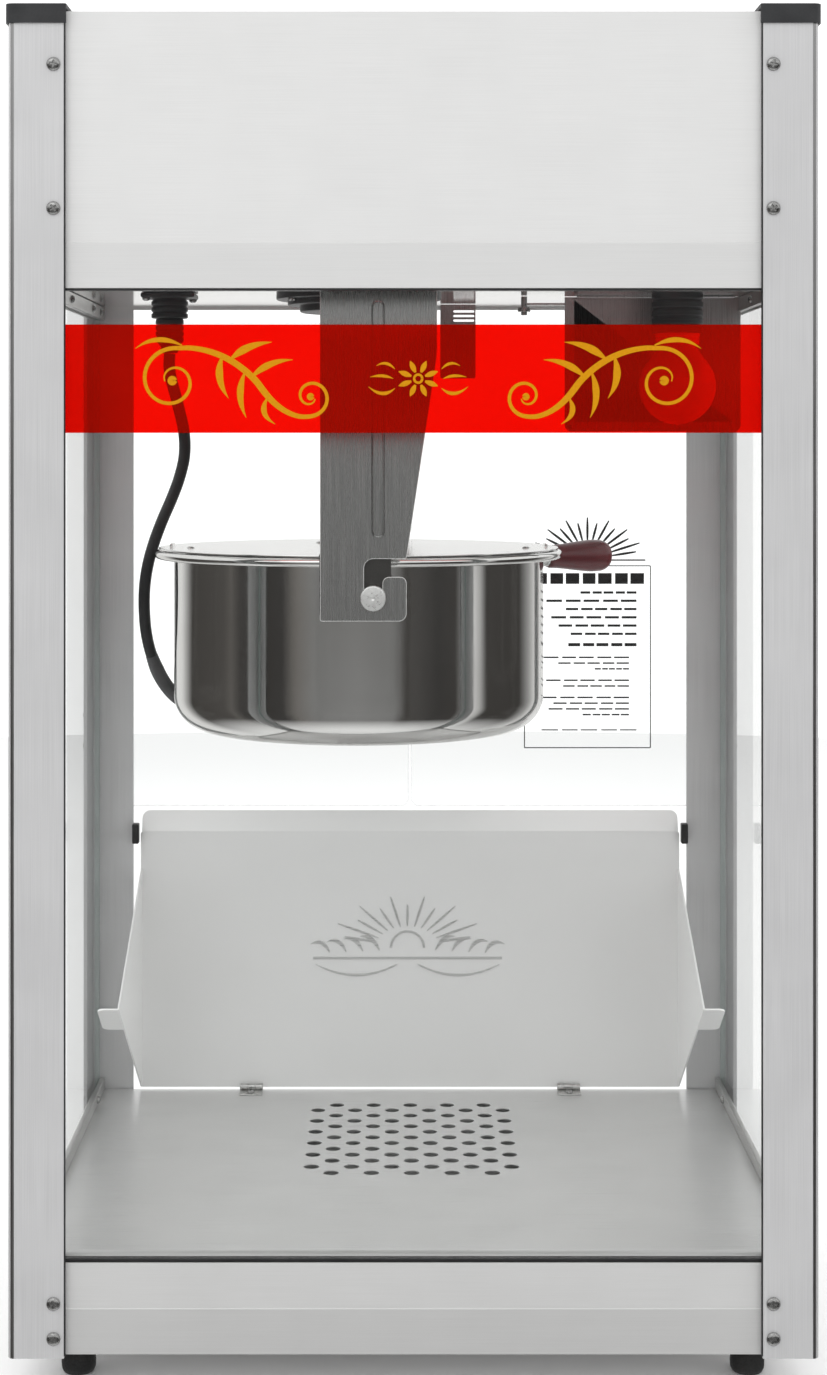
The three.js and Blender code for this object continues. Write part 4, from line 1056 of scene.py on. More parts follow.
# %% Drive boss, drive head and stirrer
low, high = box_of("drive_housing")
KETTLE = ((low + high) / 2).xy
STEP_HIGH, STEP_LOW = 691.7, 687.7
boss = turned([
    (9, HEAD), (58, HEAD, 0.5), (58, STEP_HIGH, 1.0), (50, STEP_HIGH, 0.6), (50, STEP_LOW, 1.0),
    (41.5, STEP_LOW, 0.6), (41.5, low.z, 1.4), (9, low.z, 0.8),
], (*KETTLE, 0), 72)
done(boss, "drive_boss", "cabinet", "black_plastic", ["drive_housing"])
around = [(KETTLE.x + 54 * math.cos(a), KETTLE.y + 54 * math.sin(a), STEP_HIGH) for a in (0.6, 2.2, 3.7, 5.3)]
screws(around, "down", "screws_drive_boss", head=small_screw)

low, high = box_of("drive_head")
head = turned([
    (0, low.z + 6.5), (7, low.z + 6.5, 0.8), (7, low.z + 11, 0.3), (6.2, low.z + 12, 0.3),
    (7, low.z + 13, 0.3), (7, high.z), (0, high.z),
], (*KETTLE, 0), 40)
tongue = block((KETTLE.x - 5.6, KETTLE.y - 2, low.z), (KETTLE.x + 5.6, KETTLE.y + 2, low.z + 8), 0.35, 2)
done(combine(head, [tongue]), "drive_coupling", "drive", "galvanised_steel", ["drive_head"], plated)

low, high = box_of("stirrer")
shaft = turned([
    (0, low.z), (11, low.z, 1.0), (11, low.z + 12, 2.5), (5, low.z + 12, 1.2), (5, high.z, 0.8), (0, high.z),
], (*KETTLE, 0), 40)
blade = cut_out([
    (KETTLE.y - 6, low.z, 0.3), (KETTLE.y + 6, low.z, 0.3), (KETTLE.y + 6, low.z + 1.4, 0.4),
    (KETTLE.y + 1.4, low.z + 5, 0.8), (KETTLE.y - 1.4, low.z + 5, 0.8), (KETTLE.y - 6, low.z + 1.4, 0.4),
], "X", low.x, high.x)
slot_low = (KETTLE.x - 10, KETTLE.y - 2.6, high.z - 6)
slot = block(slot_low, (KETTLE.x + 10, KETTLE.y + 2.6, high.z + 2), 0.2, 1)
stirrer = combine(combine(shaft, [blade]), [slot], "DIFFERENCE")
done(stirrer, "stirrer_shaft_and_blade", "stirrer", "stainless_steel", ["stirrer"], upright_steel)

# %% [markdown]
# ## Kettle
# The kettle is two turned walls: a mirror-polished shell outside and a pan inside, whose flange ends in a
# rolled rim. Both are spun from closed sections in ninety-six steps, because polish shows every flat.

# %% Shell and pan
low, high = box_of("kettle_shell")
radius = (high.x - low.x) / 2
WALL_SHEET, FOOT_RADIUS = 1.2, 24
inside = radius - WALL_SHEET
shell = turned([
    (0, low.z), (radius, low.z, FOOT_RADIUS), (radius, high.z), (inside, high.z),
    (inside, low.z + WALL_SHEET, FOOT_RADIUS - WALL_SHEET), (0, low.z + WALL_SHEET),
], (*KETTLE, 0), 96)
done(shell, "kettle_polished_shell", "kettle", "mirror_steel", ["kettle_shell"], angle=50)
low, high = box_of("kettle_pan")
rim = (high.x - low.x) / 2
rolled = arc((rim - 3, high.z - 3), 3, range(-150, 121, 18))
wall = rim - 21
pan = turned([
    (0, low.z), (wall, low.z, 12), (wall, high.z - 4), (rim - 6, high.z - 4), *rolled,
    (rim - 6, high.z - 2.5), (wall - 1.5, high.z - 2.5, 1.2), (wall - 1.5, low.z + 1.5, 10.5),
    (0, low.z + 1.5),
], (*KETTLE, 0), 96)
pan.data.materials.append(mirror_steel)
pan.data.materials.append(brushed_steel)
for face in pan.data.polygons:
    face.material_index = 0 if face.center.z > (high.z - 7) * MM else 1
done(pan, "kettle_pan_and_rim", "kettle", "stainless_steel", ["kettle_pan"], angle=50)

# %% [markdown]
# Two half lids lie on the rim and hinge along a crossbar, whose legs carry the pivot pins. A lid is a
# segment of a circle cut from sheet; its rivets and finger tab ride with it.

# %% Lids
for word, side in SIDES:
    low, high = box_of(f"lid_{word}")
    edge = high.x if side < 0 else low.x
    lid_radius = abs((low.x if side < 0 else high.x) - KETTLE.x)
    half = math.acos(abs(edge - KETTLE.x) / lid_radius)
    sweep = [half * (2 * step / 40 - 1) for step in range(41)]
    rim_line = [(KETTLE.x + side * lid_radius * math.cos(a), KETTLE.y + lid_radius * math.sin(a))
                for a in sweep]
    lid = cut_out(rim_line, "Z", low.z, high.z)
    soften(lid, 0.35, 2, 40)
    tab_x = KETTLE.x + side * (lid_radius - 9)
    tab = block((tab_x - 1, KETTLE.y - 11, high.z - 0.4), (tab_x + 1, KETTLE.y + 11, high.z + 2.6), 0.7, 3)
    combine(lid, [tab])
    done(lid, f"lid_{word}_sheet", f"lid_{word}", "stainless_steel", [f"lid_{word}"], lid_steel)
    rivet = [(0, 0), (2.6, 0), (2.6, 0.5, 0.3), (1.6, 1.3, 0.5), (0, 1.4)]
    spots = ((edge + side * 6, KETTLE.y + 60), (KETTLE.x + side * 116, KETTLE.y - 26))
    rivets = [turned(rivet, (x, y, high.z - 0.1), 20) for x, y in spots]
    done(joined(rivets), f"lid_{word}_rivets", f"lid_{word}", "stainless_steel", material=plated)

# %% Crossbar and pivot pins
low, high = box_of("kettle_crossbar")
thick = 3.0
leg = 149.0
bar = block((low.x, KETTLE.y - leg, high.z - thick), (high.x, KETTLE.y + leg, high.z), 0.8, 2)
legs = [block((low.x, min(a, b), high.z - 40), (high.x, max(a, b), high.z - 0.4), 0.8, 2)
        for a, b in ((KETTLE.y - leg, KETTLE.y - leg + thick), (KETTLE.y + leg - thick, KETTLE.y + leg))]
hole = turned([(0, -5), (5.9, -5), (5.9, 5), (0, 5)], (*KETTLE, high.z), 32)
bar = combine(combine(bar, legs), [hole], "DIFFERENCE")
# The bridge takes the near-black steel, a painted shadow.
done(bar, "kettle_bridge", "kettle", "stainless_steel", ["kettle_crossbar"], bridge_painted_shadow_steel)
for word, side in (("front", -1), ("rear", 1)):
    end = low.y if side < 0 else high.y
    length = abs(end - KETTLE.y) - (leg - thick)
    pin = turned([
        (0, 0), (5.5, 0), (5.5, length - 5.5, 0.4), (8.15, length - 5.5, 0.6), (8.15, length, 1.1),
        (1.2, length, 0.3), (0, length - 0.5),
    ], (PIVOT.x, KETTLE.y + side * (leg - thick), PIVOT.z), 56, (0, side, 0))
    done(pin, f"pivot_pin_{word}", "kettle", "stainless_steel", material=pin_steel)

# %% [markdown]
# The handle is a pressed resin grip on a steel shank, with a ferrule between them. It stands out at an angle
# towards the operator. The terminal box on the far side of the shell takes the end of the lead.

# %% Handle and terminal box
HANDLE_TURN = math.radians(25)
out = Vector((math.cos(HANDLE_TURN), math.sin(HANDLE_TURN), 0))
low, high = box_of("handle_grip")
start = Vector((*KETTLE, (low.z + high.z) / 2)) + out * 150
grip = turned([
    (0, 0), (7.4, 0, 0.9), (8.4, 2, 0.8), (8.6, 9, 4), (10.9, 27, 8), (11.9, 38, 6), (11.2, 47.5, 3.4),
    (7.4, 51.4, 2.4), (0, 52),
], start, 48, out)
done(grip, "handle_resin_grip", "kettle", "maroon_phenolic", ["handle_grip"], angle=60)
drop = Vector((0, 0, 3.5))
shank = turned([(0, 0), (3.5, 0), (3.5, 19.5), (0, 19.5)], start - out * 20 - drop, 28, out)
ferrule = turned([
    (0, 0), (6.6, 0, 0.6), (6.6, 3.6, 0.6), (7.2, 4.4, 0.3), (7.2, 6.2, 0.3), (0, 6.2),
], start - out * 6, 40, out)
collar = turned([(0, 0), (7.5, 0, 0.4), (6.5, 2.6, 1.0), (0, 2.6)], start - out * 20.4 - drop, 36, out)
shank = combine(shank, [ferrule, collar])
done(shank, "handle_shank_and_ferrule", "kettle", "stainless_steel", ["handle_shank"], plated)

BOX_BEARING = 140
BOX_TURN = moved(*KETTLE) @ Matrix.Rotation(math.radians(BOX_BEARING), 4, "Z")
box_low = box_of("terminal_box")[0].z
case = block((129.8, -15, box_low), (140.3, 15, box_low + 44), 1.6, 4)
cover = block((139.9, -14.2, box_low + 0.8), (142.8, 14.2, box_low + 43.2), 1.1, 4)
case = combine(case, [cover])
placed_case = copied(case, BOX_TURN)
bpy.data.objects.remove(case)
done(placed_case, "terminal_case", "kettle", "black_plastic", ["terminal_box"])
seat = [BOX_TURN @ Vector((142.7, y, box_low + z)) for y, z in ((-9.5, 6), (9.5, 38))]
facing = Matrix.Rotation(math.radians(BOX_BEARING + 90), 4, "Z")
screws(seat, facing, "screws_terminal_case", "kettle", small_screw)

# %% [markdown]
# ## Lead
# A heat-proof lead hangs from a socket in the ceiling to the terminal box. It leaves the plug straight down,
# bows out under its own weight and comes back to the box in one smooth curve, so it has slack for the tilt.

# %% Lead
ROUTE = [
    (-172, 8, 654.9), (-172, 8, 642), (-166.5, 8, 620), (-162, 8, 600), (-161.5, 8, 583),
    (-165, 8, 567), (-170.5, 8, 552), (-177, 8, 537), (-183, 8, 521), (-187.5, 8.5, 505),
    (-190, 10, 489), (-190.6, 13, 472), (-189.5, 18, 454), (-186, 25, 437), (-180, 33, 421),
    (-171.5, 43, 408), (-162, 53, 401.5), (-152, 63.3, 400),
]
LEAD_RADIUS = 4.15


def smooth_route(points, steps=8):
    """Points along a Catmull-Rom curve through the route."""
    line = []
    for i in range(len(points) - 1):
        p = [Vector(points[max(0, min(len(points) - 1, i + k))]) for k in (-1, 0, 1, 2)]
        for step in range(steps):
            t = step / steps
            line.append(0.5 * (2 * p[1] + (p[2] - p[0]) * t + (2 * p[0] - 5 * p[1] + 4 * p[2] - p[3]) * t * t
                               + (3 * p[1] - p[0] - 3 * p[2] + p[3]) * t ** 3))
    return line + [Vector(points[-1])]


def tube(line, radii, name):
    """A tube along a line, in mm, made a mesh."""
    curve = bpy.data.curves.new(name, "CURVE")
    curve.dimensions = "3D"
    curve.bevel_depth = MM
    curve.bevel_resolution = 6
    curve.use_fill_caps = True
    spline = curve.splines.new("POLY")
    spline.points.add(len(line) - 1)
    for index, (point, place) in enumerate(zip(spline.points, line)):
        point.co = (*(place * MM), 1)
        point.radius = radii[index] if isinstance(radii, list) else radii
    made = bpy.data.objects.new(name, curve)
    bpy.context.scene.collection.objects.link(made)
    take(made)
    bpy.ops.object.convert(target="MESH")
    return bpy.context.object


def bend_with_kettle(piece, name, material, nodes=()):
    """Shades a piece of the lead, names it, gives it its finish, bakes its place into its mesh and hides the
    nodes it replaces.
    """
    take(piece)
    bpy.ops.object.shade_smooth_by_angle(angle=math.radians(60))
    piece.name = piece.data.name = name
    piece.data.materials.append(material)
    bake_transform(piece)
    if nodes:
        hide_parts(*nodes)
    return piece


line = smooth_route(ROUTE)
lead_length = sum((b - a).length for a, b in zip(line, line[1:]))
lead = bend_with_kettle(tube(line, LEAD_RADIUS, "lead"), "lead", lead_rubber, ["kettle_lead"])
tail = line[-34:]
taper = [LEAD_RADIUS + 0.15 + 0.75 * min(1, i / 5) for i in range(len(tail))]
sleeve = bend_with_kettle(tube(tail, taper, "lead_sleeve"), "lead_sleeve", sleeve_rubber)
print("lead length", round(lead_length, 1), "mm")

# %% [markdown]
# ## Lamp and socket
# A heat lamp hangs from the ceiling behind a folded steel shield. The lamp holder and the kettle's socket are
# ribbed black mouldings, so their sections are drawn with a groove for each rib and spun.

# %% Ribbed mouldings
def ribbed(radius, low, high, ribs, depth=0.9):
    """The section of a moulded barrel with grooves between its ribs."""
    pitch = (high - low) / ribs
    section = [(0, low), (radius - 0.6, low, 0.4)]
    for rib in range(ribs):
        base = low + rib * pitch
        section += [(radius, base + pitch * 0.15, 0.2), (radius, base + pitch * 0.7, 0.2)]
        if rib < ribs - 1:
            groove = radius - depth
            section += [(groove, base + pitch * 0.8, 0.15), (groove, base + pitch * 1.02, 0.15)]
    return section + [(radius - 0.6, high, 0.2), (0, high)]


low, high = box_of("lamp_socket")
LAMP = ((low + high) / 2).xy
holder = turned(ribbed(18, low.z, high.z, 5), (*LAMP, 0), 56)
done(holder, "lamp_holder", "cabinet", "black_plastic", ["lamp_socket"])
low, high = box_of("lamp_bulb")
middle = low.z + 27
glass = arc((0, middle), 27, range(-90, 52, 9))
glass[0] = (0, low.z)
neck = [(14.2, middle + 26, 2.5), (13, high.z - 3, 1.5), (13, high.z), (0, high.z)]
bulb = turned(glass + neck, (*LAMP, 0), 56)
done(bulb, "lamp_frosted_bulb", "cabinet", "bulb_glass", ["lamp_bulb"], angle=60)
collar = turned([
    (13.2, high.z - 7.6), (15.6, high.z - 7.6, 0.5), (15.0, high.z - 5.6, 0.3), (15.6, high.z - 4.8, 0.3),
    (15.0, high.z - 3, 0.3), (15.6, high.z - 2.2, 0.3), (15.6, high.z, 0.3), (13.2, high.z),
], (*LAMP, 0), 56)
done(collar, "lamp_collar", "cabinet", "bulb_glass", material=white_print)

# %% Lamp shield
low, high = box_of("lamp_shield")
outline = [(low.x, low.z, 5.0), (high.x, low.z, 5.0), (high.x, high.z), (low.x, high.z)]
shield = cut_out(outline, "Y", low.y, high.y)
hems = [block((low.x, low.y - 1.1, low.z + 5), (low.x + 7, low.y + 0.2, high.z - 2), 0.4, 2),
        block((low.x + 5, low.y - 1.1, low.z), (high.x - 5, low.y + 0.2, low.z + 7), 0.4, 2)]
fold = block((low.x + 8, low.y - 14, high.z - 1.2), (high.x - 6, high.y, high.z), 0.3, 1)
shield = soften(combine(shield, hems + [fold]), 0.2, 2, 50)
done(shield, "lamp_shield_sheet", "cabinet", "stainless_steel", ["lamp_shield"], upright_steel)

# %% Socket and plug
low, high = box_of("kettle_socket")
SOCKET = ((low + high) / 2).xy
socket = turned(ribbed(13, low.z, high.z, 4), (*SOCKET, 0), 48)
base = block((SOCKET.x - 19, SOCKET.y - 17, high.z - 3.6), (SOCKET.x + 19, SOCKET.y + 17, high.z), 1.2, 3)
done(combine(socket, [base]), "kettle_socket_moulding", "cabinet", "black_plastic", ["kettle_socket"])
seats = [(SOCKET.x + end * 15.5, SOCKET.y + end * 12, high.z - 3.6) for end in (-1, 1)]
screws(seats, "down", "screws_kettle_socket", head=small_screw)
low, high = box_of("lead_plug")
section = ribbed(10, low.z + 8, high.z, 4, 0.7)
section[0:2] = [
    (0, low.z), (5.6, low.z, 0.8), (6.6, low.z + 3, 0.3), (6.0, low.z + 3.6, 0.3), (7.6, low.z + 6.4, 0.3),
    (9.4, low.z + 8),
]
plug = turned(section, (*SOCKET, 0), 44)
done(plug, "lead_plug_moulding", "cabinet", "black_plastic", ["lead_plug"])

# %% [markdown]
# Small steel brackets hang beside the rear hanger: a vent plate with three slits, and a sprung lever.

# %% Ceiling brackets
VENT_FOOT, CEILING = 641, 697.6
vent = cut_out([(23, VENT_FOOT, 1.5), (50, VENT_FOOT, 1.5), (50, CEILING), (23, CEILING)], "Y", 137.0, 138.2)
slits = [cut_out([(33, z, 0.7), (49, z, 0.7), (49, z + 1.7, 0.7), (33, z + 1.7, 0.7)], "Y", 130, 145)
         for z in (684.5, 688, 691.5)]
vent = soften(combine(vent, slits, "DIFFERENCE"), 0.2, 1, 50)
done(vent, "vent_bracket", "cabinet", "stainless_steel", material=upright_steel)
stud = turned([
    (0, 684), (2.2, 684, 0.5), (2.2, 686.5), (4.6, 686.5, 0.5), (4.6, 690, 0.5), (2.2, 690), (2.2, CEILING),
    (0, CEILING),
], (82, 40, 0), 24)
arm = block((80, 38.6, 691.4), (112, 41.4, 693), 0.5, 2)
done(combine(stud, [arm]), "lever_and_stud", "cabinet", "stainless_steel", material=plated)

# %% [markdown]
# ## Rear doors
# Two clear doors swing out on pin hinges. Each pane is a rounded outline with polished edges; a turned knob,
# the hinge's leaf and its rivets ride with the pane, while the pin and its own leaf stay on the post.

# %% Door panes and knobs
for word, side in SIDES:
    low, high = box_of(f"door_{word}")
    body = f"door_{word}"
    outline = [(low.x, low.z, 6.0), (high.x, low.z, 6.0), (high.x, high.z, 6.0), (low.x, high.z, 6.0)]
    door = cut_out(outline, "Y", low.y, high.y)
    with editing(door, "EDGE", "DESELECT"):
        pick(door, lambda at, way: abs(way.y) < 0.01)
        bpy.ops.mesh.bevel(offset=0.4 * MM, segments=1, affect="EDGES")
    pane(door, f"door_{word}_pane", body, "door_acrylic", 1, acrylic_edge, [body])
    knob_low, knob_high = box_of(f"door_knob_{word}")
    centre = (knob_low + knob_high) / 2
    knob = turned([
        (0, 0), (9, 0, 0.5), (9, 2.7, 0.9), (5.6, 5.4, 1.0), (5.4, 9.6, 1.4), (9, 13.8, 1.2), (9, 18.6, 1.6),
        (6.6, 20.6, 0.8), (0, 20.7),
    ], (centre.x, knob_low.y, centre.z), 48, (0, 1, 0))
    done(knob, f"door_knob_{word}_turned", body, "black_plastic", [f"door_knob_{word}"])
    stud_section = [(0, 0), (4.2, 0), (4.2, 0.5, 0.3), (2.6, 1.7, 0.6), (0, 1.8)]
    stud = turned(stud_section, (centre.x, low.y, centre.z), 28, (0, -1, 0))
    done(stud, f"door_stud_{word}", body, "stainless_steel", material=plated)

# %% Hinges
KNUCKLE, LEAF_SHEET = 2.4, 1.2
for word, side in SIDES:
    for place in ("lower", "upper"):
        node_name = f"door_hinge_{word}_{place}"
        low, high = box_of(node_name)
        near = low.x if side > 0 else high.x
        outer = near + side * LEAF_SHEET
        pin_x = (high.x - KNUCKLE) if side > 0 else (low.x + KNUCKLE)
        pin_y = high.y - KNUCKLE
        xs = sorted((near, outer))
        leaf = block((xs[0], low.y, low.z), (xs[1], pin_y, high.z), 0.35, 2)
        barrel = [(0, low.z), (KNUCKLE, low.z, 0.5)]
        for joint in (low.z + 14, low.z + 28):
            barrel += [(KNUCKLE, joint - 0.35, 0.1), (2.1, joint - 0.1), (2.1, joint + 0.1),
                       (KNUCKLE, joint + 0.35, 0.1)]
        barrel = turned(barrel + [(KNUCKLE, high.z, 0.5), (0, high.z)], (pin_x, pin_y, 0), 28)
        hinge = combine(leaf, [barrel])
        done(hinge, f"{node_name}_pin", "cabinet", "stainless_steel", [node_name], upright_steel)
        spots = [(outer - side * 0.2, low.y + 7, z) for z in (low.z + 9, high.z - 9)]
        screws(spots, word, f"screws_{node_name}", head=small_screw)
        reach = sorted((pin_x - side * 1.0, pin_x - side * 27))
        leaf_low, leaf_high = (reach[0], pin_y + 0.25, low.z + 0.5), (reach[1], pin_y + 1.35, high.z - 0.5)
        door_leaf = block(leaf_low, leaf_high, 0.4, 2)
        rivet = [(0, 0), (2.7, 0), (2.7, 0.4, 0.2), (1.7, 1.3, 0.4), (0, 1.4)]
        heads = [turned(rivet, (pin_x - side * 17, pin_y + 1.2, z), 24, (0, 1, 0))
                 for z in (low.z + 10, high.z - 10)]
        leaf_name = f"{node_name}_leaf"
        done(combine(door_leaf, heads), leaf_name, f"door_{word}", "stainless_steel", material=upright_steel)

# %% [markdown]
# A printed notice is on the inside of the right door. Its lines of type are drawn as plain bars inside a
# ruled frame, under a fan of strokes, so it reads as print from any side and says nothing.

# %% Notice
x1, x2, z1, z2 = 90.0, 189.0, 352.0, 495.0
notice_corners = [(x1, z1), (x2, z1), (x2, z2), (x1, z2), (x1, z1)]
ruled = [([a, b], [0.8, 0.8]) for a, b in zip(notice_corners, notice_corners[1:])]
# Each row: its height, its start and end as shares of the width, and the width of its bars.
rows = [
    (485, 0.0, 1.0, 8.5), (474, 0.06, 0.62, 1.9), (467.5, 0.06, 0.9, 1.9), (461, 0.06, 0.74, 1.9),
    (454.5, 0.06, 0.86, 1.9), (448, 0.06, 0.8, 1.9), (441.5, 0.06, 0.7, 1.9), (433, 0.06, 0.72, 2.6),
    (423, 0.12, 0.92, 1.3), (418.5, 0.12, 0.8, 1.3), (414, 0.12, 0.5, 1.3), (405, 0.12, 0.9, 1.3),
    (400.5, 0.12, 0.76, 1.3), (391.5, 0.12, 0.94, 1.3), (387, 0.12, 0.84, 1.3), (382.5, 0.12, 0.88, 1.3),
    (378, 0.12, 0.6, 1.3), (366, 0.06, 0.94, 1.0),
]
for z, start, end, width in rows:
    left, right = x2 - (x2 - x1) * start - 5, x2 - (x2 - x1) * end + 5
    bars = 7 if width > 4 else 5
    for index in range(bars):
        a = left + (right - left) * index / bars
        b = left + (right - left) * (index + 0.84 - 0.05 * (index % 2)) / bars
        ruled.append(([(a, z), (b, z)], [width, width]))
fan = Vector(((x1 + x2) / 2, 500))
for index in range(15):
    angle = math.radians(12 + 156 * index / 14)
    way = Vector((math.cos(angle) * 1.35, math.sin(angle)))
    tip = 33 if index % 2 else 29
    ruled.append(([tuple(fan + way * reach) for reach in (13, 22, tip)], [0.8, 3.0, 1.0]))
ruled.append((spiral(fan, 11, 0, 180, 0.0, 12), [1.4, 1.4]))
ruled.append(([(x1 + 4, 499.5), (x2 - 4, 499.5)], [1.2, 1.2]))
inner_face = box_of("door_right")[0].y
strokes(ruled, "door_notice_print", "door_right", "door_acrylic", black_print, inner_face, 0.12)

# %% [markdown]
# ## Flap and drawer
# The flap behind the deck tips out towards the operator. It is one folded sheet: a panel, a lip that leans
# out, a wing at each side and a tab turned out from each wing. The folds are joined solids with soft edges.

# %% Flap
low, high = box_of("flap")
half, inner, outer = 211.0, 177.4, 178.6
foot_z, panel_z, lip_z = low.z, low.z + 200.4, high.z
outline = [(-half, foot_z, 1.5), (half, foot_z, 1.5), (half, panel_z, 2.5), (-half, panel_z, 2.5)]
flap = cut_out(outline, "Y", inner, outer)
lip_section = [
    (inner + 0.15, panel_z - 1), (outer - 0.15, panel_z - 1), (outer + 5, lip_z), (inner + 5, lip_z),
]
lip = cut_out(lip_section, "X", -half + 1, half - 1)
with editing(lip, "EDGE", "DESELECT"):
    pick(lip, lambda at, way: at.z > lip_z - 1 and abs(at.x) > half - 2 and abs(way.x) < 0.1)
    bpy.ops.mesh.bevel(offset=6 * MM, segments=6, affect="EDGES")
tip, corner = (low.y, foot_z + 98), (outer - 4, foot_z + 1)
wing_outline = [(*tip, 3.0), corner, (outer - 0.15, foot_z + 1), (outer - 0.15, panel_z - 28.4)]
slope = Vector((corner[0] - tip[0], corner[1] - tip[1])).normalized()
across = Vector((-slope.y, slope.x))
TAB_SECTION = ((2, 0.15), (45, 0.15), (45, 1.35), (2, 1.35))
tabs = []
for side in (-1, 1):
    wing = cut_out(wing_outline, "X", *sorted((side * (half - 1.35), side * (half - 0.15))))
    section = [Vector(tip) + slope * down + across * into for down, into in TAB_SECTION]
    tab = cut_out([tuple(p) for p in section], "X", *sorted((side * (half - 1.2), high.x * side)))
    with editing(tab, "EDGE", "DESELECT"):
        pick(tab, lambda at, way: abs(abs(at.x) - high.x) < 0.1 and abs(way.yz.dot(across)) > 0.9)
        bpy.ops.mesh.bevel(offset=5 * MM, segments=5, affect="EDGES")
    tabs += [wing, tab]
flap = soften(combine(flap, [lip, *tabs]), 0.3, 2, 45)
done(flap, "flap_folded_sheet", "flap", "stainless_steel", ["flap"], flap_steel)

# %% [markdown]
# The ornament pressed into the flap is a sunburst over a bowl of leaves, in raised lines of the same steel,
# painted a shade darker than the flap: painted shade along the pressed lines.

# %% Flap ornament
pressed = []
middle = Vector((-2.0, 196.0))
for index in range(13):
    angle = math.radians(15 + 150 * index / 12)
    way = Vector((math.cos(angle) * 1.5, math.sin(angle)))
    tip = 41 if index % 2 else 34
    pressed.append(([tuple(middle + way * reach) for reach in (17, 27, tip)], [1.0, 3.2, 1.0]))
pressed.append((spiral(middle, 13, 0, 180, 0.0, 14), [2.0, 2.0]))
pressed.append(([tuple(middle + Vector((s * 74, -8))) for s in (-1, -0.33, 0.33, 1)], [2.2, 2.2]))
for side in (-1, 1):
    for index in range(4):
        root = middle + Vector((side * (22 + 13 * index), -2 - index * 0.6))
        leaf_end = root + Vector((side * 15, 11 - index * 1.4))
        pressed.append((bow(root, root + Vector((side * 5, 12)), leaf_end), [1.0, 3.6, 3.0, 0.8]))
    bowl = [middle + Vector((side * x, z)) for x, z in ((8, -13), (40, -30), (72, -13))]
    pressed.append((bow(*bowl), [1.4, 2.6, 1.0]))
strokes(pressed, "flap_pressed_ornament", "flap", "stainless_steel", pressed_painted_shade_steel, inner, 0.55)

# %% [markdown]
# The flap turns on two knuckle hinges along its foot, and a moulded catch on each side holds it shut.

# %% Flap hinges and catches
HINGE_X, HINGE_Y, HINGE_Z = 124, 174.2, 88.2
for word, side in SIDES:
    x = side * HINGE_X
    knuckle = turned([
        (0, -9), (2.6, -9, 0.4), (2.6, -3.2, 0.2), (2.2, -3), (2.6, -2.8, 0.2), (2.6, 2.8, 0.2), (2.2, 3),
        (2.6, 3.2, 0.2), (2.6, 9, 0.4), (0, 9),
    ], (x, HINGE_Y, HINGE_Z), 28, (1, 0, 0))
    leaf = block((x - 9, 160, 85.0), (x + 9, HINGE_Y + 0.2, 86.0), 0.3, 2)
    done(combine(knuckle, [leaf]), f"flap_hinge_{word}", "cabinet", "stainless_steel", material=plated)
    upward = Matrix.Rotation(math.radians(-90), 4, "X")
    screws([(x, 165.5, 85.9)], upward, f"screw_flap_hinge_{word}", head=small_screw)
    catch = block((side * 214.5 - 2.6, 170, 278.5), (side * 214.5 + 2.6, 178.5, 294), 1.0, 3)
    done(catch, f"flap_catch_{word}", "cabinet", "black_plastic")

# %% [markdown]
# The drawer under the deck catches unpopped corn. Its tray is a block whose top is inset and pushed down; a
# folded face with a bent pull closes it at the rear.

# %% Drawer
low, high = box_of("drawer")
face_low, face_high = 180.0, 181.5
tray_low, tray_high = Vector((-110, low.y, 30)), Vector((110, face_low + 0.4, 72))
tray = block(tray_low, tray_high, 0.6, 2)
with editing(tray, "FACE", "DESELECT"):
    pick(tray, lambda at, way: way.z > 0.99 and at.z > tray_high.z - 0.1)
    bpy.ops.mesh.inset(thickness=0.9 * MM)
    bpy.ops.mesh.extrude_region_move(TRANSFORM_OT_translate={"value": (0, 0, -40.6 * MM)})
outline = [(-117, 26.5, 3.0), (117, 26.5, 3.0), (117, 75.5, 3.0), (-117, 75.5, 3.0)]
front = soften(cut_out(outline, "Y", face_low, face_high), 0.5, 3, 50)
pull = cut_out([
    (face_high - 1, 49.5), (high.y, 49.5, 1.2), (high.y, 52.5, 1.2), (face_high - 1, 52.5),
], "X", -30, 30)
pull = soften(pull, 0.6, 3, 50)
drawer = combine(front, [pull, tray])
done(drawer, "drawer_tray_and_face", "drawer", "stainless_steel", ["drawer"])

# %% [markdown]
# ## Rear of the hood
# Three rocker switches tip in moulded frames. A rocker is a dished outline with soft edges, marked with the
# usual bar and ring. The cord gland is turned, with a hexagon nut that is only a spin of six steps.

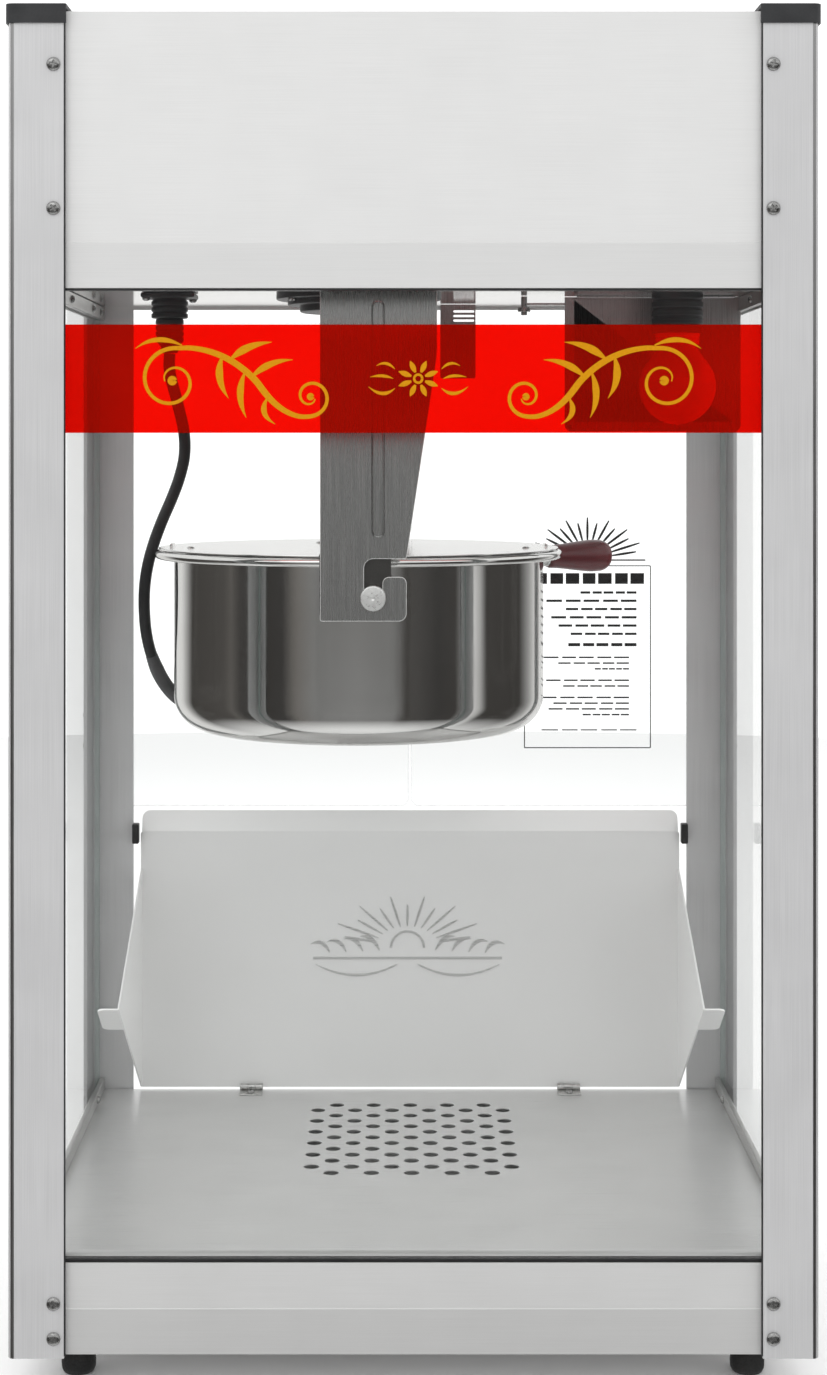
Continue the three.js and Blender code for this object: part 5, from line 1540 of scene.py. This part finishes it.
# %% Rockers and their frames
REAR_FACE, ROCKER_Z = 179.7, 775.0
dished = [
    (-3, -13.2), (3.6, -13.2, 0.8), (2.6, -6.8), (1.9, -2.6), (1.6, 0), (1.9, 2.6), (2.6, 6.8),
    (3.6, 13.2, 0.8), (-3, 13.2),
]
for name, x in (("lamp_rocker", -60), ("kettle_rocker", 0), ("stirrer_rocker", 60)):
    tilt = moved(x, REAR_FACE, ROCKER_Z) @ Matrix.Rotation(math.radians(7), 4, "X")
    rocker = soften(cut_out(dished, "X", -11, 11), 0.5, 2, 50)
    tipped = copied(rocker, tilt)
    bpy.data.objects.remove(rocker)
    done(tipped, f"{name}_key", name, "black_plastic", [name])
    bar = block((-0.5, 2.4, 5.0), (0.5, 2.95, 10.0), 0.15, 1)
    ring_section = [(2.0, -0.35), (2.7, -0.35, 0.1), (2.7, 0.22, 0.1), (2.0, 0.22, 0.1)]
    ring = turned(ring_section, (0, 2.72, -7.4), 28, (0, 1, -0.15))
    marks = joined([bar, ring])
    tipped = copied(marks, tilt)
    bpy.data.objects.remove(marks)
    done(tipped, f"{name}_marks", name, "black_plastic", material=white_print)
    centre = Vector((x, REAR_FACE, ROCKER_Z))
    bezel = block(centre + Vector((-15.5, -0.2, -19)), centre + Vector((15.5, 1.6, 19)), 0.7, 3)
    opening = block(centre + Vector((-11.3, -4, -14.4)), centre + Vector((11.3, 6, 14.4)), 0.5, 2)
    done(combine(bezel, [opening], "DIFFERENCE"), f"{name}_frame", "cabinet", "black_plastic")

# %% Cord gland
low, high = box_of("cord_gland")
centre, length = (low + high) / 2, high.y - low.y
foot_at = (centre.x, low.y, centre.z)
gland = turned([
    (3.5, 0), (8, 0, 0.4), (8, 6.3), (12, 6.3, 0.6), (12, 8.4, 0.6), (8.4, 8.6), (7.6, 12, 0.8),
    (6.2, length, 0.8), (3.5, length, 0.5),
], foot_at, 40, (0, 1, 0))
nut = turned([(7.2, 8), (11.2, 8, 0.6), (11.2, 12.2, 0.6), (7.2, 12.2)], foot_at, 6, (0, 1, 0))
done(combine(gland, [nut]), "cord_gland_and_nut", "cabinet", "black_plastic", ["cord_gland"])

# %% [markdown]
# ## Last steps
# The pattern screws were only for copying.

# %% Check and finish
for piece in (screw, small_screw):
    bpy.data.objects.remove(piece)
low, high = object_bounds()
print("visual box", [round(v, 4) for v in high - low])
